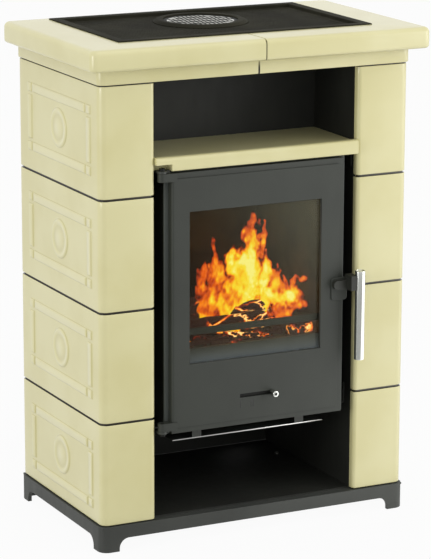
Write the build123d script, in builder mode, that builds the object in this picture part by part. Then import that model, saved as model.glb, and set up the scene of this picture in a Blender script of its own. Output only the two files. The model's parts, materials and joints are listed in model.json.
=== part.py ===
from build123d import *
import math
import os

# Free-standing tiled stove: a steel firebox and its door between two columns of glazed tiles,
# with a niche and shelf above, an open wood store below, a two-part crown and a plinth on feet.
# Millimetres. +X is the viewer's right, +Y points to the back, +Z is up.
# The origin is on the floor, in the middle of the stove's width and depth.

os.makedirs("parts", exist_ok=True)

# ---------------------------------------------------------------- driving sizes
# Tile jacket
block_width = 668.0  # outside of the left tiles to outside of the right tiles
block_depth = 398.0  # front face to back edge of the tiles
opening_width = 440.0  # clear width between the front legs of the tiles
tile_pitch = 220.0  # one full tile, joint to joint
bottom_tile_height = 206.0  # the bottom row is cut shorter
full_rows = 3  # rows of full tiles above the bottom row
tile_wall = 15.0
tile_back_leg = 60.0
tile_front_radius = 16.0
tile_back_radius = 14.0
tile_lip_radius = 8.0
joint_width = 3.0  # dark joint between two rows
joint_depth = 4.0
tile_edge = 1.2  # soft edge along each joint

# Relief on the side of each tile
frame_margin = 41.0  # from a joint to the raised frame
frame_setback = 42.0  # from the tile's front face to the raised frame
frame_back_margin = 53.0
frame_bar = 20.0
frame_gap = 4.0  # between a bar and a corner block
relief_height = 3.0
relief_slope = 35.0
medallion_radius = 40.0
medallion_rim = 6.0

# Plinth
plinth_height = 52.0
plinth_proud = 4.0
plinth_wall = 8.0
plinth_flange = 60.0
plinth_flange_thickness = 4.0
plinth_radius = 20.0
arch_height = 26.0
arch_radius = 20.0
foot_width = 39.0
base_thickness = 3.0
base_screw_radius = 5.0
base_screw_height = 2.5
base_screw_inset = 26.0
base_screw_depth = 280.0

# Crown
band_height = 30.0
band_proud = 2.5
band_wall = 20.0
slab_thickness = 42.0
side_overhang = 30.0
front_overhang = 34.0
back_overhang = 5.0
slab_corner_radius = 14.0
slab_top_radius = 11.0
slab_bottom_radius = 7.0
crown_joint = 1.6

# Top plate and flue cover
plate_width = 547.0
plate_depth = 334.0
plate_setback = 45.0  # tile front face to the plate's front edge
plate_rim = 20.0
plate_thickness = 2.5
panel_drop = 6.0
panel_thickness = 1.5
plate_seat = 11.0  # how far the rim rests on the crown
panel_clearance = 1.0
flue_axis_depth = 253.0  # tile front face to the axis of the top outlet
ring_radius = 95.0
ring_height = 6.0
ring_top_radius = 86.0
cover_radius = 75.0
cover_ledge = 4.0
cover_thickness = 1.5
ring_skirt = 3.0
skirt_clearance = 1.5

# Casing, niche and shelf
sheet = 2.0
casing_flange = 78.0
panel_gap = 0.5
shelf_gap = 3.3  # above the firebox's front frame
shelf_thickness = 23.7
shelf_proud = 6.0
lip_rise = 4.0
lip_width = 16.0
lip_radius = 7.0
shelf_depth = 184.0  # lip to the back wall of the niche
notch_width = 34.0
notch_height = 14.0
notch_depth = 25.0
rail_thickness = 3.0
shelf_rail_width = 20.0
shelf_rail_height = 28.0
shelf_rail_setback = 22.0
shelf_rail_length = 145.0

# Firebox
firebox_side_gap = 30.0  # from the casing to the firebox
door_seat_gap = 1.0  # from the back of the door to the front frame
firebox_back_gap = 36.0  # from the firebox to the back flanges of the casing
firebox_wall = 4.0
front_frame_thickness = 5.0
front_frame_reveal = 8.75  # how far the frame shows beside the door
front_frame_below = 2.0
front_frame_above = 1.0
frame_rim_below = 6.0  # front frame to the firebox's bottom and top
frame_rim_above = 9.0
mouth_side = 31.75  # door edge to the mouth
mouth_above = 51.0
mouth_rise = 36.0  # hearth plate to the lower edge of the mouth
ash_mouth_side = 8.0
ash_mouth_below = 17.0
ash_mouth_height = 59.0
hearth_rise = 122.0  # bottom of the firebox to the hearth plate
hearth_plate = 4.0
brick = 26.0
floor_brick = 25.0
smoke_gap = 36.0  # front edge of the baffle to the top of the firebox
baffle_rise = 87.0  # back edge of the baffle to its front edge
brick_setback = 3.0
baffle_front = 110.0
baffle_thickness = 20.0
grate_width = 200.0
grate_depth = 150.0
grate_thickness = 12.0
grate_slots = 8
grate_slot_width = 9.0
grate_ledge = 8.0
fit_gap = 0.5
ash_pan_width = 280.0
ash_pan_depth = 250.0
ash_pan_height = 56.0
ash_pan_lip = 12.0
ash_pan_setback = 6.0
log_radius = 34.0
log_length = 240.0
log_spacing = 20.0
top_log_turn = 10.0
guard_height = 14.0
guard_thickness = 4.0
guard_rise = 57.0  # above the hearth plate
guard_setback = 30.0
firebox_rail_height = 40.0
firebox_rail_reach = 48.0
firebox_rail_setback = 40.0
firebox_rail_length = 290.0

# Flue
collar_radius = 74.5
collar_wall = 2.5
collar_flange = 84.0
collar_bead = 2.5
collar_flange_thickness = 3.0
collar_drop = 90.0  # top of the firebox to the collar's axis
collar_reach = 32.0  # behind the tiles
collar_clearance = 4.0
blanking_radius = 84.0
blanking_thickness = 3.0
vent_count = 4
vent_length = 70.0
vent_height = 8.0

# Heat shield under the firebox
shield_width = 334.0
shield_setback = 35.0
shield_drop = 31.5
shield_thickness = 1.5
shield_tab_width = 20.0
shield_tab_offset = 114.0

# Door
door_side_gap = 32.25  # from the casing to the door
door_height = 516.0
wood_store_height = 169.0  # base plate to the lower edge of the door
door_thickness = 16.0
door_proud = 7.0  # front face of the door, in front of the tiles
door_skin = 4.0
border_width = 11.0
border_step = 2.5
door_edge_radius = 5.0
border_backing = 3.0
border_ring = 15.0
door_flange = 3.0
window_left_margin = 37.75
window_right_margin = 50.25
window_low_margin = 136.0
window_top_margin = 77.5
glass_thickness = 4.0
glass_overlap = 6.0
glass_seal_thickness = 2.0
clip_width = 14.0
clip_reach = 5.0
clip_spacing = 190.0
seal_width = 8.0
seal_wall = 2.5
seal_gap = 0.3
seal_margin = 4.0  # from the mouth to the seal
channel_depth = 6.0

# Hinges
hinge_left = 17.25  # hinge axis to the door's left edge
hinge_depth = 0.5  # hinge axis behind the tile front face
knuckle_radius = 9.2
lug_height = 16.0
lug_overlap = 11.0
lug_proud = 1.7
lower_lug_rise = 7.0  # above the lower edge of the door
pin_radius = 4.0
pin_clearance = 0.05
pin_head_radius = 5.5
pin_head_height = 5.0
bracket_thickness = 5.0
bracket_gap = 0.3
upper_bracket_side = 17.0
lower_bracket_side = 12.0

# Air slider
slot_end_gap = 3.0
slot_height = 8.0
slot_rise = 59.0  # above the lower edge of the door
slide_end = 9.0
slide_tail = 38.0
slide_height = 15.4
slide_thickness = 1.5
slide_gap = 0.3
slide_travel = 64.0
guide_wall = 4.0
guide_lip = 4.0
guide_lip_thickness = 1.5
knob_x = 30.0
knob_radius = 6.3
knob_length = 17.0
knob_stand_off = 2.0
knob_neck = 3.0
knob_screw_radius = 3.0
knob_screw_proud = 0.4

# Handle and latch
handle_inset = 9.75  # from the door's right edge to the axis of the handle
handle_rise = 263.0  # above the lower edge of the door
latch_plate_inner = 18.0
latch_plate_outer = 17.0
latch_plate_below = 33.0
latch_plate_above = 13.0
latch_plate_thickness = 3.0
latch_plate_radius = 6.0
bush_radius = 6.5
shaft_radius = 4.0
arm_height = 18.0
arm_depth = 11.0
arm_gap = 0.3
clamp_width = 15.0
clamp_height = 30.0
clamp_depth = 21.0
clamp_bite = 3.0  # how far the clamp reaches round the grip
clamp_step = 2.0
grip_side = 33.0  # from the axis of the handle to the grip
grip_stand_off = 34.0  # grip axis in front of the tile face
grip_radius = 10.2
grip_wall = 1.7
grip_below = 152.0
grip_above = 29.0
plug_thickness = 4.0
cam_thickness = 5.0
cam_reach = 15.0
cam_width = 9.0
cam_hub_radius = 6.4
cam_gap = 0.5
keeper_width = 18.0
keeper_gap = 0.8
keeper_wall = 2.7
keeper_lip = 4.6
keeper_lip_thickness = 3.5
cam_notch_height = 34.0

# ---------------------------------------------------------------- derived places
half_block = block_width / 2
half_opening = opening_width / 2
front_reach = grip_stand_off + grip_radius
stove_depth = front_reach + block_depth + collar_reach
face_y = front_reach - stove_depth / 2  # front face of the tiles
back_y = face_y + block_depth
block_mid_y = (face_y + back_y) / 2
first_joint = plinth_height + bottom_tile_height
block_top = first_joint + full_rows * tile_pitch
slab_bottom = block_top + band_height
crown_top = slab_bottom + slab_thickness
plate_front_y = face_y + plate_setback
plate_mid_y = plate_front_y + plate_depth / 2
flue_y = face_y + flue_axis_depth
panel_level = crown_top - panel_drop
panel_hole_radius = cover_radius + cover_ledge + ring_skirt
floor_top = plinth_height + base_thickness
door_width = opening_width - 2 * door_side_gap
door_bottom = floor_top + wood_store_height
door_top = door_bottom + door_height
front_frame_width = door_width + 2 * front_frame_reveal
front_frame_bottom = door_bottom - front_frame_below
front_frame_top = door_top + front_frame_above
firebox_width = opening_width - 2 * firebox_side_gap
firebox_bottom = front_frame_bottom + frame_rim_below
firebox_top = front_frame_top - frame_rim_above
hearth_level = firebox_bottom + hearth_rise
mouth_width = door_width - 2 * mouth_side
mouth_bottom = hearth_level + mouth_rise
mouth_top = door_top - mouth_above
ash_mouth_width = mouth_width - 2 * ash_mouth_side
ash_mouth_bottom = door_bottom + ash_mouth_below
ash_mouth_top = ash_mouth_bottom + ash_mouth_height
baffle_front_top = firebox_top - firebox_wall - smoke_gap - baffle_thickness
back_brick_top = baffle_front_top - baffle_rise
guard_bottom = hearth_level + guard_rise
collar_level = firebox_top - collar_drop
shelf_bottom = front_frame_top + shelf_gap
shelf_top = shelf_bottom + shelf_thickness
casing_back_y = back_y - tile_wall - sheet
rear_panel_y = back_y - tile_wall - sheet / 2
niche_back_y = face_y - shelf_proud + shelf_depth
door_front_y = face_y - door_proud
door_back_y = door_front_y + door_thickness
door_left = -door_width / 2
door_right = door_width / 2
skin_back_y = door_front_y + door_skin
border_back_y = skin_back_y + border_backing
frame_front_y = door_back_y + door_seat_gap
firebox_front_y = frame_front_y + front_frame_thickness
firebox_back_y = casing_back_y - firebox_back_gap
half_firebox = firebox_width / 2
brick_inside = half_firebox - firebox_wall - brick
brick_front_y = firebox_front_y + brick_setback
back_brick_y = firebox_back_y - firebox_wall - brick
brick_floor = hearth_level + floor_brick
window_left = door_left + window_left_margin
window_right = door_right - window_right_margin
window_bottom = door_bottom + window_low_margin
window_top = door_top - window_top_margin
lower_lug_bottom = door_bottom + lower_lug_rise
slot_level = door_bottom + slot_rise
slot_left = knob_x - slide_travel - knob_neck - slot_end_gap
slot_right = knob_x + knob_neck + slot_end_gap
slide_left = slot_left - slide_end
slide_right = knob_x + slide_tail
handle_x = door_right - handle_inset
handle_level = door_bottom + handle_rise
grip_x = handle_x + grip_side
grip_bottom = handle_level - grip_below
grip_top = handle_level + grip_above
hinge_x = door_left - hinge_left
hinge_y = face_y + hinge_depth
seal_half_width = mouth_width / 2 + seal_margin
seal_bottom = ash_mouth_bottom - seal_margin
seal_top = mouth_top + seal_margin
shield_level = firebox_bottom - shield_drop
plate_front_face = door_front_y - latch_plate_thickness
arm_back_y = plate_front_face - arm_gap
cam_front_y = border_back_y + cam_gap
grip_y = face_y - grip_stand_off


# ---------------------------------------------------------------- shared shapes
def middle(span):
    """The middle of a (low, high) span."""
    return (span[0] + span[1]) / 2


def width(span):
    """The length of a (low, high) span."""
    return span[1] - span[0]


def block(x, y, z, mode=Mode.ADD):
    """A plain block between its (low, high) spans, in the piece being built."""
    with Locations((middle(x), middle(y), middle(z))):
        Box(width(x), width(y), width(z), mode=mode)


def panel(x, z, mode=Mode.ADD):
    """A rectangle between its spans, in the sketch being drawn."""
    with Locations((middle(x), middle(z))):
        Rectangle(width(x), width(z), mode=mode)


def upright(y):
    """The upright plane at depth y, drawn in X and Z and facing the front."""
    return Plane.XZ.offset(-y)


def nearest_corner(sketch, x, y):
    """The corner of a sketch nearest to a point."""
    return sketch.vertices().sort_by_distance((x, y, 0))[0]


def ordered(a, b):
    """A (low, high) span from two ends in any order."""
    return (min(a, b), max(a, b))


def grow(span, amount):
    """A span made longer by an amount at each end."""
    return (span[0] - amount, span[1] + amount)


# ---------------------------------------------------------------- plinth
foot_span_x = (-half_block - plinth_proud, half_block + plinth_proud)
foot_span_y = (face_y - plinth_proud, back_y + plinth_proud)

with BuildPart() as plinth_frame:
    with BuildSketch() as skirt_plan:
        panel(foot_span_x, foot_span_y)
        fillet(skirt_plan.vertices(), plinth_radius)
        panel(grow(foot_span_x, -plinth_wall), grow(foot_span_y, -plinth_wall), Mode.SUBTRACT)
    extrude(amount=plinth_height)
    with BuildSketch(Plane.XY.offset(plinth_height - plinth_flange_thickness)):
        panel(grow(foot_span_x, -plinth_wall / 2), grow(foot_span_y, -plinth_wall / 2))
        panel(grow(foot_span_x, -plinth_flange), grow(foot_span_y, -plinth_flange), Mode.SUBTRACT)
    extrude(amount=plinth_flange_thickness)
    with BuildSketch(upright(middle(foot_span_y))) as front_arch:
        panel(grow(foot_span_x, -foot_width), (-arch_height, arch_height))
        fillet(front_arch.vertices(), arch_radius)
    extrude(amount=width(foot_span_y), both=True, mode=Mode.SUBTRACT)
    with BuildSketch(Plane.YZ) as side_arch:
        panel(grow(foot_span_y, -foot_width), (-arch_height, arch_height))
        fillet(side_arch.vertices(), arch_radius)
    extrude(amount=width(foot_span_x), both=True, mode=Mode.SUBTRACT)
plinth_frame.part.label = "plinth_frame"
export_step(plinth_frame.part, "parts/plinth_frame.step")

base_span_x = (-half_block + tile_wall + panel_gap, half_block - tile_wall - panel_gap)
base_span_y = (face_y + tile_wall + panel_gap, rear_panel_y - sheet / 2 - panel_gap)

with BuildPart() as base_plate:
    with BuildSketch(Plane.XY.offset(plinth_height)):
        panel(base_span_x, base_span_y)
    extrude(amount=base_thickness)
base_plate.part.label = "base_plate"
export_step(base_plate.part, "parts/base_plate.step")

with BuildPart() as base_screws:
    with Locations((0, face_y + base_screw_depth, floor_top)):
        with GridLocations(2 * (half_opening - base_screw_inset), 0, 2, 1):
            Cylinder(
                base_screw_radius,
                base_screw_height,
                align=(Align.CENTER, Align.CENTER, Align.MIN),
            )
    chamfer(base_screws.faces().group_by(Axis.Z)[-1].edges(), 1.0)
base_screws.part.label = "base_screws"
export_step(base_screws.part, "parts/base_screws.step")


# ---------------------------------------------------------------- tiles
def joint_level(row):
    """The height of the joint under a row; row 0 stands on the plinth."""
    if row == 0:
        return plinth_height
    return first_joint + (row - 1) * tile_pitch


def tile_plan(side, inset):
    """The plan of one tile wall in the sketch being drawn, shrunk by an inset all round."""
    leg = ordered(side * (half_opening + inset), side * (half_block - inset))
    hollow = ordered(side * (half_opening - inset), side * (half_block - tile_wall + inset))
    back_cut = ordered(
        side * (half_opening - inset),
        side * (half_block - tile_back_leg + inset),
    )
    panel(leg, (face_y + inset, back_y - inset))
    panel(hollow, (face_y + tile_wall - inset, back_y - tile_wall + inset), Mode.SUBTRACT)
    panel(back_cut, (back_y - tile_wall, back_y), Mode.SUBTRACT)


def relief_plane(side, level):
    """The plane of a tile's side face, centred on its relief, facing outwards."""
    centre_y = (face_y + frame_setback + back_y - frame_back_margin) / 2
    return Plane(origin=(side * half_block, centre_y, level), x_dir=(0, side, 0), z_dir=(side, 0, 0))


def tile_relief(side, level):
    """A raised frame of four bars and four corner blocks, with a roundel in its middle."""
    plane = relief_plane(side, level)
    frame_length = block_depth - frame_setback - frame_back_margin
    frame_height = tile_pitch - 2 * frame_margin
    bar_length = frame_length - 2 * (frame_bar + frame_gap)
    bar_height = frame_height - 2 * (frame_bar + frame_gap)
    with BuildSketch(plane) as bars:
        with GridLocations(frame_length - frame_bar, frame_height - frame_bar, 2, 2):
            Rectangle(frame_bar, frame_bar)
        with GridLocations(0, frame_height - frame_bar, 1, 2):
            Rectangle(bar_length, frame_bar)
        with GridLocations(frame_length - frame_bar, 0, 2, 1):
            Rectangle(frame_bar, bar_height)
    extrude(bars.sketch, amount=relief_height, taper=relief_slope)
    roundel_plane = Plane(origin=plane.origin, x_dir=plane.z_dir, z_dir=(0, 0, 1))
    with BuildSketch(roundel_plane) as roundel:
        rim_inside = medallion_radius - medallion_rim
        with BuildLine():
            Polyline(
                (0, 0),
                (relief_height * 0.8, 0),
                (relief_height * 0.2, rim_inside - relief_height),
                (relief_height, rim_inside),
                (relief_height, medallion_radius - relief_height / 2),
                (0, medallion_radius),
                (0, 0),
            )
        make_face()
    revolve(roundel.sketch, axis=Axis(plane.origin, plane.z_dir))


def build_tile(side, row):
    """One C-shaped tile: front leg, side with its relief, and back leg."""
    low = joint_level(row)
    high = joint_level(row + 1)
    relief_level = high - tile_pitch / 2
    with BuildPart() as tile:
        with BuildSketch(Plane.XY.offset(low + joint_width / 2)) as section:
            tile_plan(side, 0)
            fillet(nearest_corner(section, side * half_block, face_y), tile_front_radius)
            fillet(nearest_corner(section, side * half_block, back_y), tile_back_radius)
            fillet(nearest_corner(section, side * half_opening, face_y), tile_lip_radius)
        extrude(amount=high - low - joint_width)
        ends = tile.faces().group_by(Axis.Z)[0] + tile.faces().group_by(Axis.Z)[-1]
        chamfer(
            [
                edge
                for edge in ends.edges()
                if abs(edge.center().X) > half_block - tile_wall / 2
                or edge.center().Y < face_y + tile_wall / 2
                or edge.center().Y > back_y - tile_wall / 2
            ],
            tile_edge,
        )
        with BuildSketch(Plane.XY.offset(low)):
            tile_plan(side, joint_depth)
        extrude(amount=high - low)
        tile_relief(side, relief_level)
    return tile


for column, tile_side in (("left", -1), ("right", 1)):
    for tile_row in range(full_rows + 1):
        ceramic_tile = build_tile(tile_side, tile_row)
        ceramic_tile.part.label = f"tile_{column}_{tile_row + 1}"
        export_step(ceramic_tile.part, f"parts/tile_{column}_{tile_row + 1}.step")


# ---------------------------------------------------------------- crown
def build_crown(side):
    """One half of the crown: an overhanging slab on a narrower band, open for the top plate."""
    joint_x = crown_joint / 2
    slab_x = ordered(side * joint_x, side * (half_block + side_overhang))
    slab_y = (face_y - front_overhang, back_y + back_overhang)
    band_x = ordered(side * joint_x, side * (half_block + band_proud))
    band_y = (face_y - band_proud, back_y + band_proud)
    hole_half = plate_width / 2 - plate_seat
    hole_x = ordered(-side * joint_x, side * hole_half)
    hole_y = (plate_front_y + plate_seat, plate_front_y + plate_depth - plate_seat)
    with BuildPart() as crown:
        with BuildSketch(Plane.XY.offset(slab_bottom)) as slab_plan:
            panel(slab_x, slab_y)
            outer = slab_plan.vertices().filter_by(lambda v: abs(v.X) > crown_joint)
            fillet(outer, slab_corner_radius)
        extrude(amount=slab_thickness)
        top_rim = crown.faces().sort_by(Axis.Z)[-1].edges()
        fillet(top_rim.filter_by(lambda e: abs(e.center().X) > crown_joint), slab_top_radius)
        low_rim = crown.faces().sort_by(Axis.Z)[0].edges()
        fillet(low_rim.filter_by(lambda e: abs(e.center().X) > crown_joint), slab_bottom_radius)
        with BuildSketch(Plane.XY.offset(block_top)) as band_plan:
            panel(band_x, band_y)
            band_outer = band_plan.vertices().filter_by(lambda v: abs(v.X) > crown_joint)
            fillet(band_outer, tile_front_radius)
            inner_x = ordered(-side * joint_x, side * (half_block + band_proud - band_wall))
            panel(inner_x, grow(band_y, -band_wall), Mode.SUBTRACT)
        extrude(amount=band_height)
        with BuildSketch(Plane.XY.offset(slab_bottom)):
            panel(hole_x, hole_y)
        extrude(amount=slab_thickness, mode=Mode.SUBTRACT)
    return crown


crown_left = build_crown(-1)
crown_left.part.label = "crown_left"
export_step(crown_left.part, "parts/crown_left.step")

crown_right = build_crown(1)
crown_right.part.label = "crown_right"
export_step(crown_right.part, "parts/crown_right.step")

# ---------------------------------------------------------------- top plate and flue cover
plate_span_x = (-plate_width / 2, plate_width / 2)
plate_span_y = (plate_front_y, plate_front_y + plate_depth)
tray_inset = plate_seat + panel_clearance

with BuildPart() as top_plate:
    with BuildSketch(Plane.XY.offset(crown_top)):
        panel(plate_span_x, plate_span_y)
        panel(grow(plate_span_x, -plate_rim), grow(plate_span_y, -plate_rim), Mode.SUBTRACT)
    extrude(amount=plate_thickness)
    chamfer(top_plate.faces().sort_by(Axis.Z)[-1].outer_wire().edges(), 1.0)
    with BuildSketch(Plane.XY.offset(panel_level)):
        panel(grow(plate_span_x, -tray_inset), grow(plate_span_y, -tray_inset))
        panel(grow(plate_span_x, -plate_rim), grow(plate_span_y, -plate_rim), Mode.SUBTRACT)
    extrude(amount=panel_drop)
    with BuildSketch(Plane.XY.offset(panel_level)):
        panel(grow(plate_span_x, -tray_inset), grow(plate_span_y, -tray_inset))
        with Locations((0, flue_y)):
            Circle(panel_hole_radius, mode=Mode.SUBTRACT)
    extrude(amount=panel_thickness)
top_plate.part.label = "top_plate"
export_step(top_plate.part, "parts/top_plate.step")

panel_top = panel_level + panel_thickness
skirt_outside = panel_hole_radius - skirt_clearance

with BuildPart() as flue_ring:
    with BuildSketch(Plane.XZ.offset(-flue_y)) as ring_section:
        with BuildLine():
            Polyline(
                (cover_radius - cover_ledge, panel_top - skirt_clearance),
                (skirt_outside, panel_top - skirt_clearance),
                (skirt_outside, panel_top),
                (ring_radius, panel_top),
                (ring_radius, panel_top + panel_thickness),
                (ring_top_radius, panel_top + ring_height),
                (cover_radius, panel_top + ring_height),
                (cover_radius, panel_top + panel_thickness),
                (cover_radius - cover_ledge, panel_top + panel_thickness),
                close=True,
            )
        make_face()
    revolve(axis=Axis((0, flue_y, 0), (0, 0, 1)))
flue_ring.part.label = "flue_ring"
export_step(flue_ring.part, "parts/flue_ring.step")

with BuildPart() as flue_cover:
    with BuildSketch(Plane.XY.offset(panel_top + panel_thickness)):
        with Locations((0, flue_y)):
            Circle(cover_radius - panel_clearance / 2)
    extrude(amount=cover_thickness)
flue_cover.part.label = "flue_cover"
export_step(flue_cover.part, "parts/flue_cover.step")


# ---------------------------------------------------------------- casing, niche and shelf
def build_casing(side):
    """A black side wall, bent out at the front and back behind the legs of the tiles."""
    wall_x = side * (half_opening + sheet / 2)
    flange_x = side * (half_opening + casing_flange)
    front_y = face_y + tile_wall + sheet / 2
    with BuildPart() as casing:
        with BuildSketch(Plane.XY.offset(floor_top)):
            with BuildLine():
                Polyline(
                    (flange_x, front_y),
                    (wall_x, front_y),
                    (wall_x, casing_back_y - sheet / 2),
                    (flange_x, casing_back_y - sheet / 2),
                )
            trace(line_width=sheet)
        extrude(amount=block_top - floor_top)
    return casing


casing_left = build_casing(-1)
casing_left.part.label = "casing_left"
export_step(casing_left.part, "parts/casing_left.step")

casing_right = build_casing(1)
casing_right.part.label = "casing_right"
export_step(casing_right.part, "parts/casing_right.step")

vent_inset = 40.0

with BuildPart() as back_panel:
    with BuildSketch(upright(casing_back_y)) as back_outline:
        panel(
            (-half_block + tile_wall + panel_gap, half_block - tile_wall - panel_gap),
            (floor_top, block_top),
        )
        with Locations((0, collar_level)):
            Circle(collar_radius + collar_clearance, mode=Mode.SUBTRACT)
        with Locations((0, (floor_top + block_top) / 2)):
            with GridLocations(
                2 * (half_opening - vent_length),
                block_top - floor_top - 2 * vent_inset,
                2,
                vent_count // 2,
            ):
                Rectangle(vent_length, vent_height, mode=Mode.SUBTRACT)
    extrude(amount=-sheet)
back_panel.part.label = "back_panel"
export_step(back_panel.part, "parts/back_panel.step")

with BuildPart() as niche_liner:
    with BuildSketch(Plane.YZ):
        with BuildLine():
            Polyline(
                (face_y + band_wall, block_top - sheet / 2),
                (niche_back_y + sheet / 2, block_top - sheet / 2),
                (niche_back_y + sheet / 2, shelf_bottom),
            )
        trace(line_width=sheet)
    extrude(amount=half_opening - panel_gap, both=True)
niche_liner.part.label = "niche_liner"
export_step(niche_liner.part, "parts/niche_liner.step")

lip_y = face_y - shelf_proud

with BuildPart() as shelf:
    with BuildSketch(Plane.YZ) as shelf_section:
        with BuildLine():
            Polyline(
                (lip_y, shelf_bottom),
                (niche_back_y, shelf_bottom),
                (niche_back_y, shelf_top),
                (lip_y + lip_width + 3 * lip_rise, shelf_top),
                (lip_y + lip_width, shelf_top + lip_rise),
                (lip_y, shelf_top + lip_rise),
                close=True,
            )
        make_face()
        fillet(nearest_corner(shelf_section, lip_y, shelf_top + lip_rise), lip_radius)
        fillet(nearest_corner(shelf_section, lip_y, shelf_bottom), lip_radius / 3)
    extrude(amount=half_opening - panel_gap, both=True)
    block(
        (-half_opening, -half_opening + notch_width),
        (lip_y, lip_y + notch_depth),
        (shelf_bottom, shelf_bottom + notch_height),
        Mode.SUBTRACT,
    )
shelf.part.label = "shelf"
export_step(shelf.part, "parts/shelf.step")


def rail_pair(level, wall_height, reach, start, length):
    """Two angle rails on the casings, their flat legs carrying a piece at a level."""
    with BuildSketch(upright(start)) as angles:
        for side in (-1, 1):
            wall_x = side * (half_opening - rail_thickness / 2)
            with BuildLine():
                Polyline(
                    (wall_x, level + wall_height),
                    (wall_x, level - rail_thickness / 2),
                    (side * (half_opening - reach), level - rail_thickness / 2),
                )
            trace(line_width=rail_thickness)
    extrude(angles.sketch, amount=-length)


with BuildPart() as shelf_rails:
    rail_pair(
        shelf_bottom,
        -shelf_rail_height,
        shelf_rail_width,
        face_y + shelf_rail_setback,
        shelf_rail_length,
    )
shelf_rails.part.label = "shelf_rails"
export_step(shelf_rails.part, "parts/shelf_rails.step")

# ---------------------------------------------------------------- firebox
firebox_x = (-half_firebox, half_firebox)
firebox_y = (firebox_front_y, firebox_back_y)

with BuildPart() as firebox_body:
    block(firebox_x, firebox_y, (firebox_bottom, firebox_top))
    offset(amount=-firebox_wall, openings=firebox_body.faces().sort_by(Axis.Y)[0])
    block(
        grow(firebox_x, -firebox_wall),
        (firebox_front_y, firebox_back_y - firebox_wall),
        (hearth_level - hearth_plate, hearth_level),
    )
    ash_hole_y = middle((brick_front_y, back_brick_y))
    block(
        (-grate_width / 2 + grate_ledge, grate_width / 2 - grate_ledge),
        (ash_hole_y - grate_depth / 2 + grate_ledge, ash_hole_y + grate_depth / 2 - grate_ledge),
        (hearth_level - hearth_plate, hearth_level),
        Mode.SUBTRACT,
    )
    with BuildSketch(Plane.XY.offset(firebox_top)):
        with Locations((0, flue_y)):
            Circle(collar_radius - collar_wall)
    extrude(amount=-firebox_wall, mode=Mode.SUBTRACT)
    with BuildSketch(upright(firebox_back_y)):
        with Locations((0, collar_level)):
            Circle(collar_radius - collar_wall)
    extrude(amount=firebox_wall, mode=Mode.SUBTRACT)
firebox_body.part.label = "firebox_body"
export_step(firebox_body.part, "parts/firebox_body.step")

with BuildPart() as front_frame:
    with BuildSketch(upright(frame_front_y)):
        panel(
            (-front_frame_width / 2, front_frame_width / 2),
            (front_frame_bottom, front_frame_top),
        )
        panel((-mouth_width / 2, mouth_width / 2), (mouth_bottom, mouth_top), Mode.SUBTRACT)
        panel(
            (-ash_mouth_width / 2, ash_mouth_width / 2),
            (ash_mouth_bottom, ash_mouth_top),
            Mode.SUBTRACT,
        )
    extrude(amount=-front_frame_thickness)
front_frame.part.label = "front_frame"
export_step(front_frame.part, "parts/front_frame.step")

with BuildPart() as firebox_rails:
    rail_pair(
        firebox_bottom,
        firebox_rail_height,
        firebox_rail_reach,
        face_y + firebox_rail_setback,
        firebox_rail_length,
    )
firebox_rails.part.label = "firebox_rails"
export_step(firebox_rails.part, "parts/firebox_rails.step")


def build_side_brick(side):
    """A side brick whose sloping top carries the baffle."""
    with BuildPart() as side_brick:
        with BuildSketch(Plane.YZ.offset(side * brick_inside)):
            with BuildLine():
                Polyline(
                    (brick_front_y, hearth_level),
                    (back_brick_y, hearth_level),
                    (back_brick_y, back_brick_top),
                    (face_y + baffle_front, baffle_front_top),
                    (brick_front_y, baffle_front_top),
                    close=True,
                )
            make_face()
        extrude(amount=side * brick)
    return side_brick


brick_left = build_side_brick(-1)
brick_left.part.label = "brick_left"
export_step(brick_left.part, "parts/brick_left.step")

brick_right = build_side_brick(1)
brick_right.part.label = "brick_right"
export_step(brick_right.part, "parts/brick_right.step")

with BuildPart() as brick_back:
    block(
        grow(firebox_x, -firebox_wall),
        (back_brick_y, back_brick_y + brick),
        (hearth_level, back_brick_top),
    )
brick_back.part.label = "brick_back"
export_step(brick_back.part, "parts/brick_back.step")

grate_x = (-grate_width / 2, grate_width / 2)
grate_y = (ash_hole_y - grate_depth / 2, ash_hole_y + grate_depth / 2)

with BuildPart() as brick_floor_slab:
    block((-brick_inside, brick_inside), (brick_front_y, back_brick_y), (hearth_level, brick_floor))
    block(
        grow(grate_x, fit_gap),
        grow(grate_y, fit_gap),
        (hearth_level, brick_floor),
        Mode.SUBTRACT,
    )
brick_floor_slab.part.label = "brick_floor"
export_step(brick_floor_slab.part, "parts/brick_floor.step")

with BuildPart() as grate:
    with BuildSketch(Plane.XY.offset(hearth_level)):
        panel(grate_x, grate_y)
        slot_pitch = (grate_width - 2 * grate_ledge) / grate_slots
        with Locations((0, ash_hole_y)):
            with GridLocations(slot_pitch, 0, grate_slots, 1):
                Rectangle(grate_slot_width, grate_depth - 4 * grate_ledge, mode=Mode.SUBTRACT)
    extrude(amount=grate_thickness)
grate.part.label = "grate"
export_step(grate.part, "parts/grate.step")

with BuildPart() as baffle:
    with BuildSketch(Plane.YZ):
        with BuildLine():
            Polyline(
                (back_brick_y, back_brick_top),
                (face_y + baffle_front, baffle_front_top),
                (face_y + baffle_front, baffle_front_top + baffle_thickness),
                (back_brick_y, back_brick_top + baffle_thickness),
                close=True,
            )
        make_face()
    extrude(amount=half_firebox - firebox_wall - fit_gap, both=True)
baffle.part.label = "baffle"
export_step(baffle.part, "parts/baffle.step")

pan_x = (-ash_pan_width / 2, ash_pan_width / 2)
pan_front_y = firebox_front_y + ash_pan_setback
pan_y = (pan_front_y, pan_front_y + ash_pan_depth)
pan_floor = firebox_bottom + firebox_wall

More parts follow.
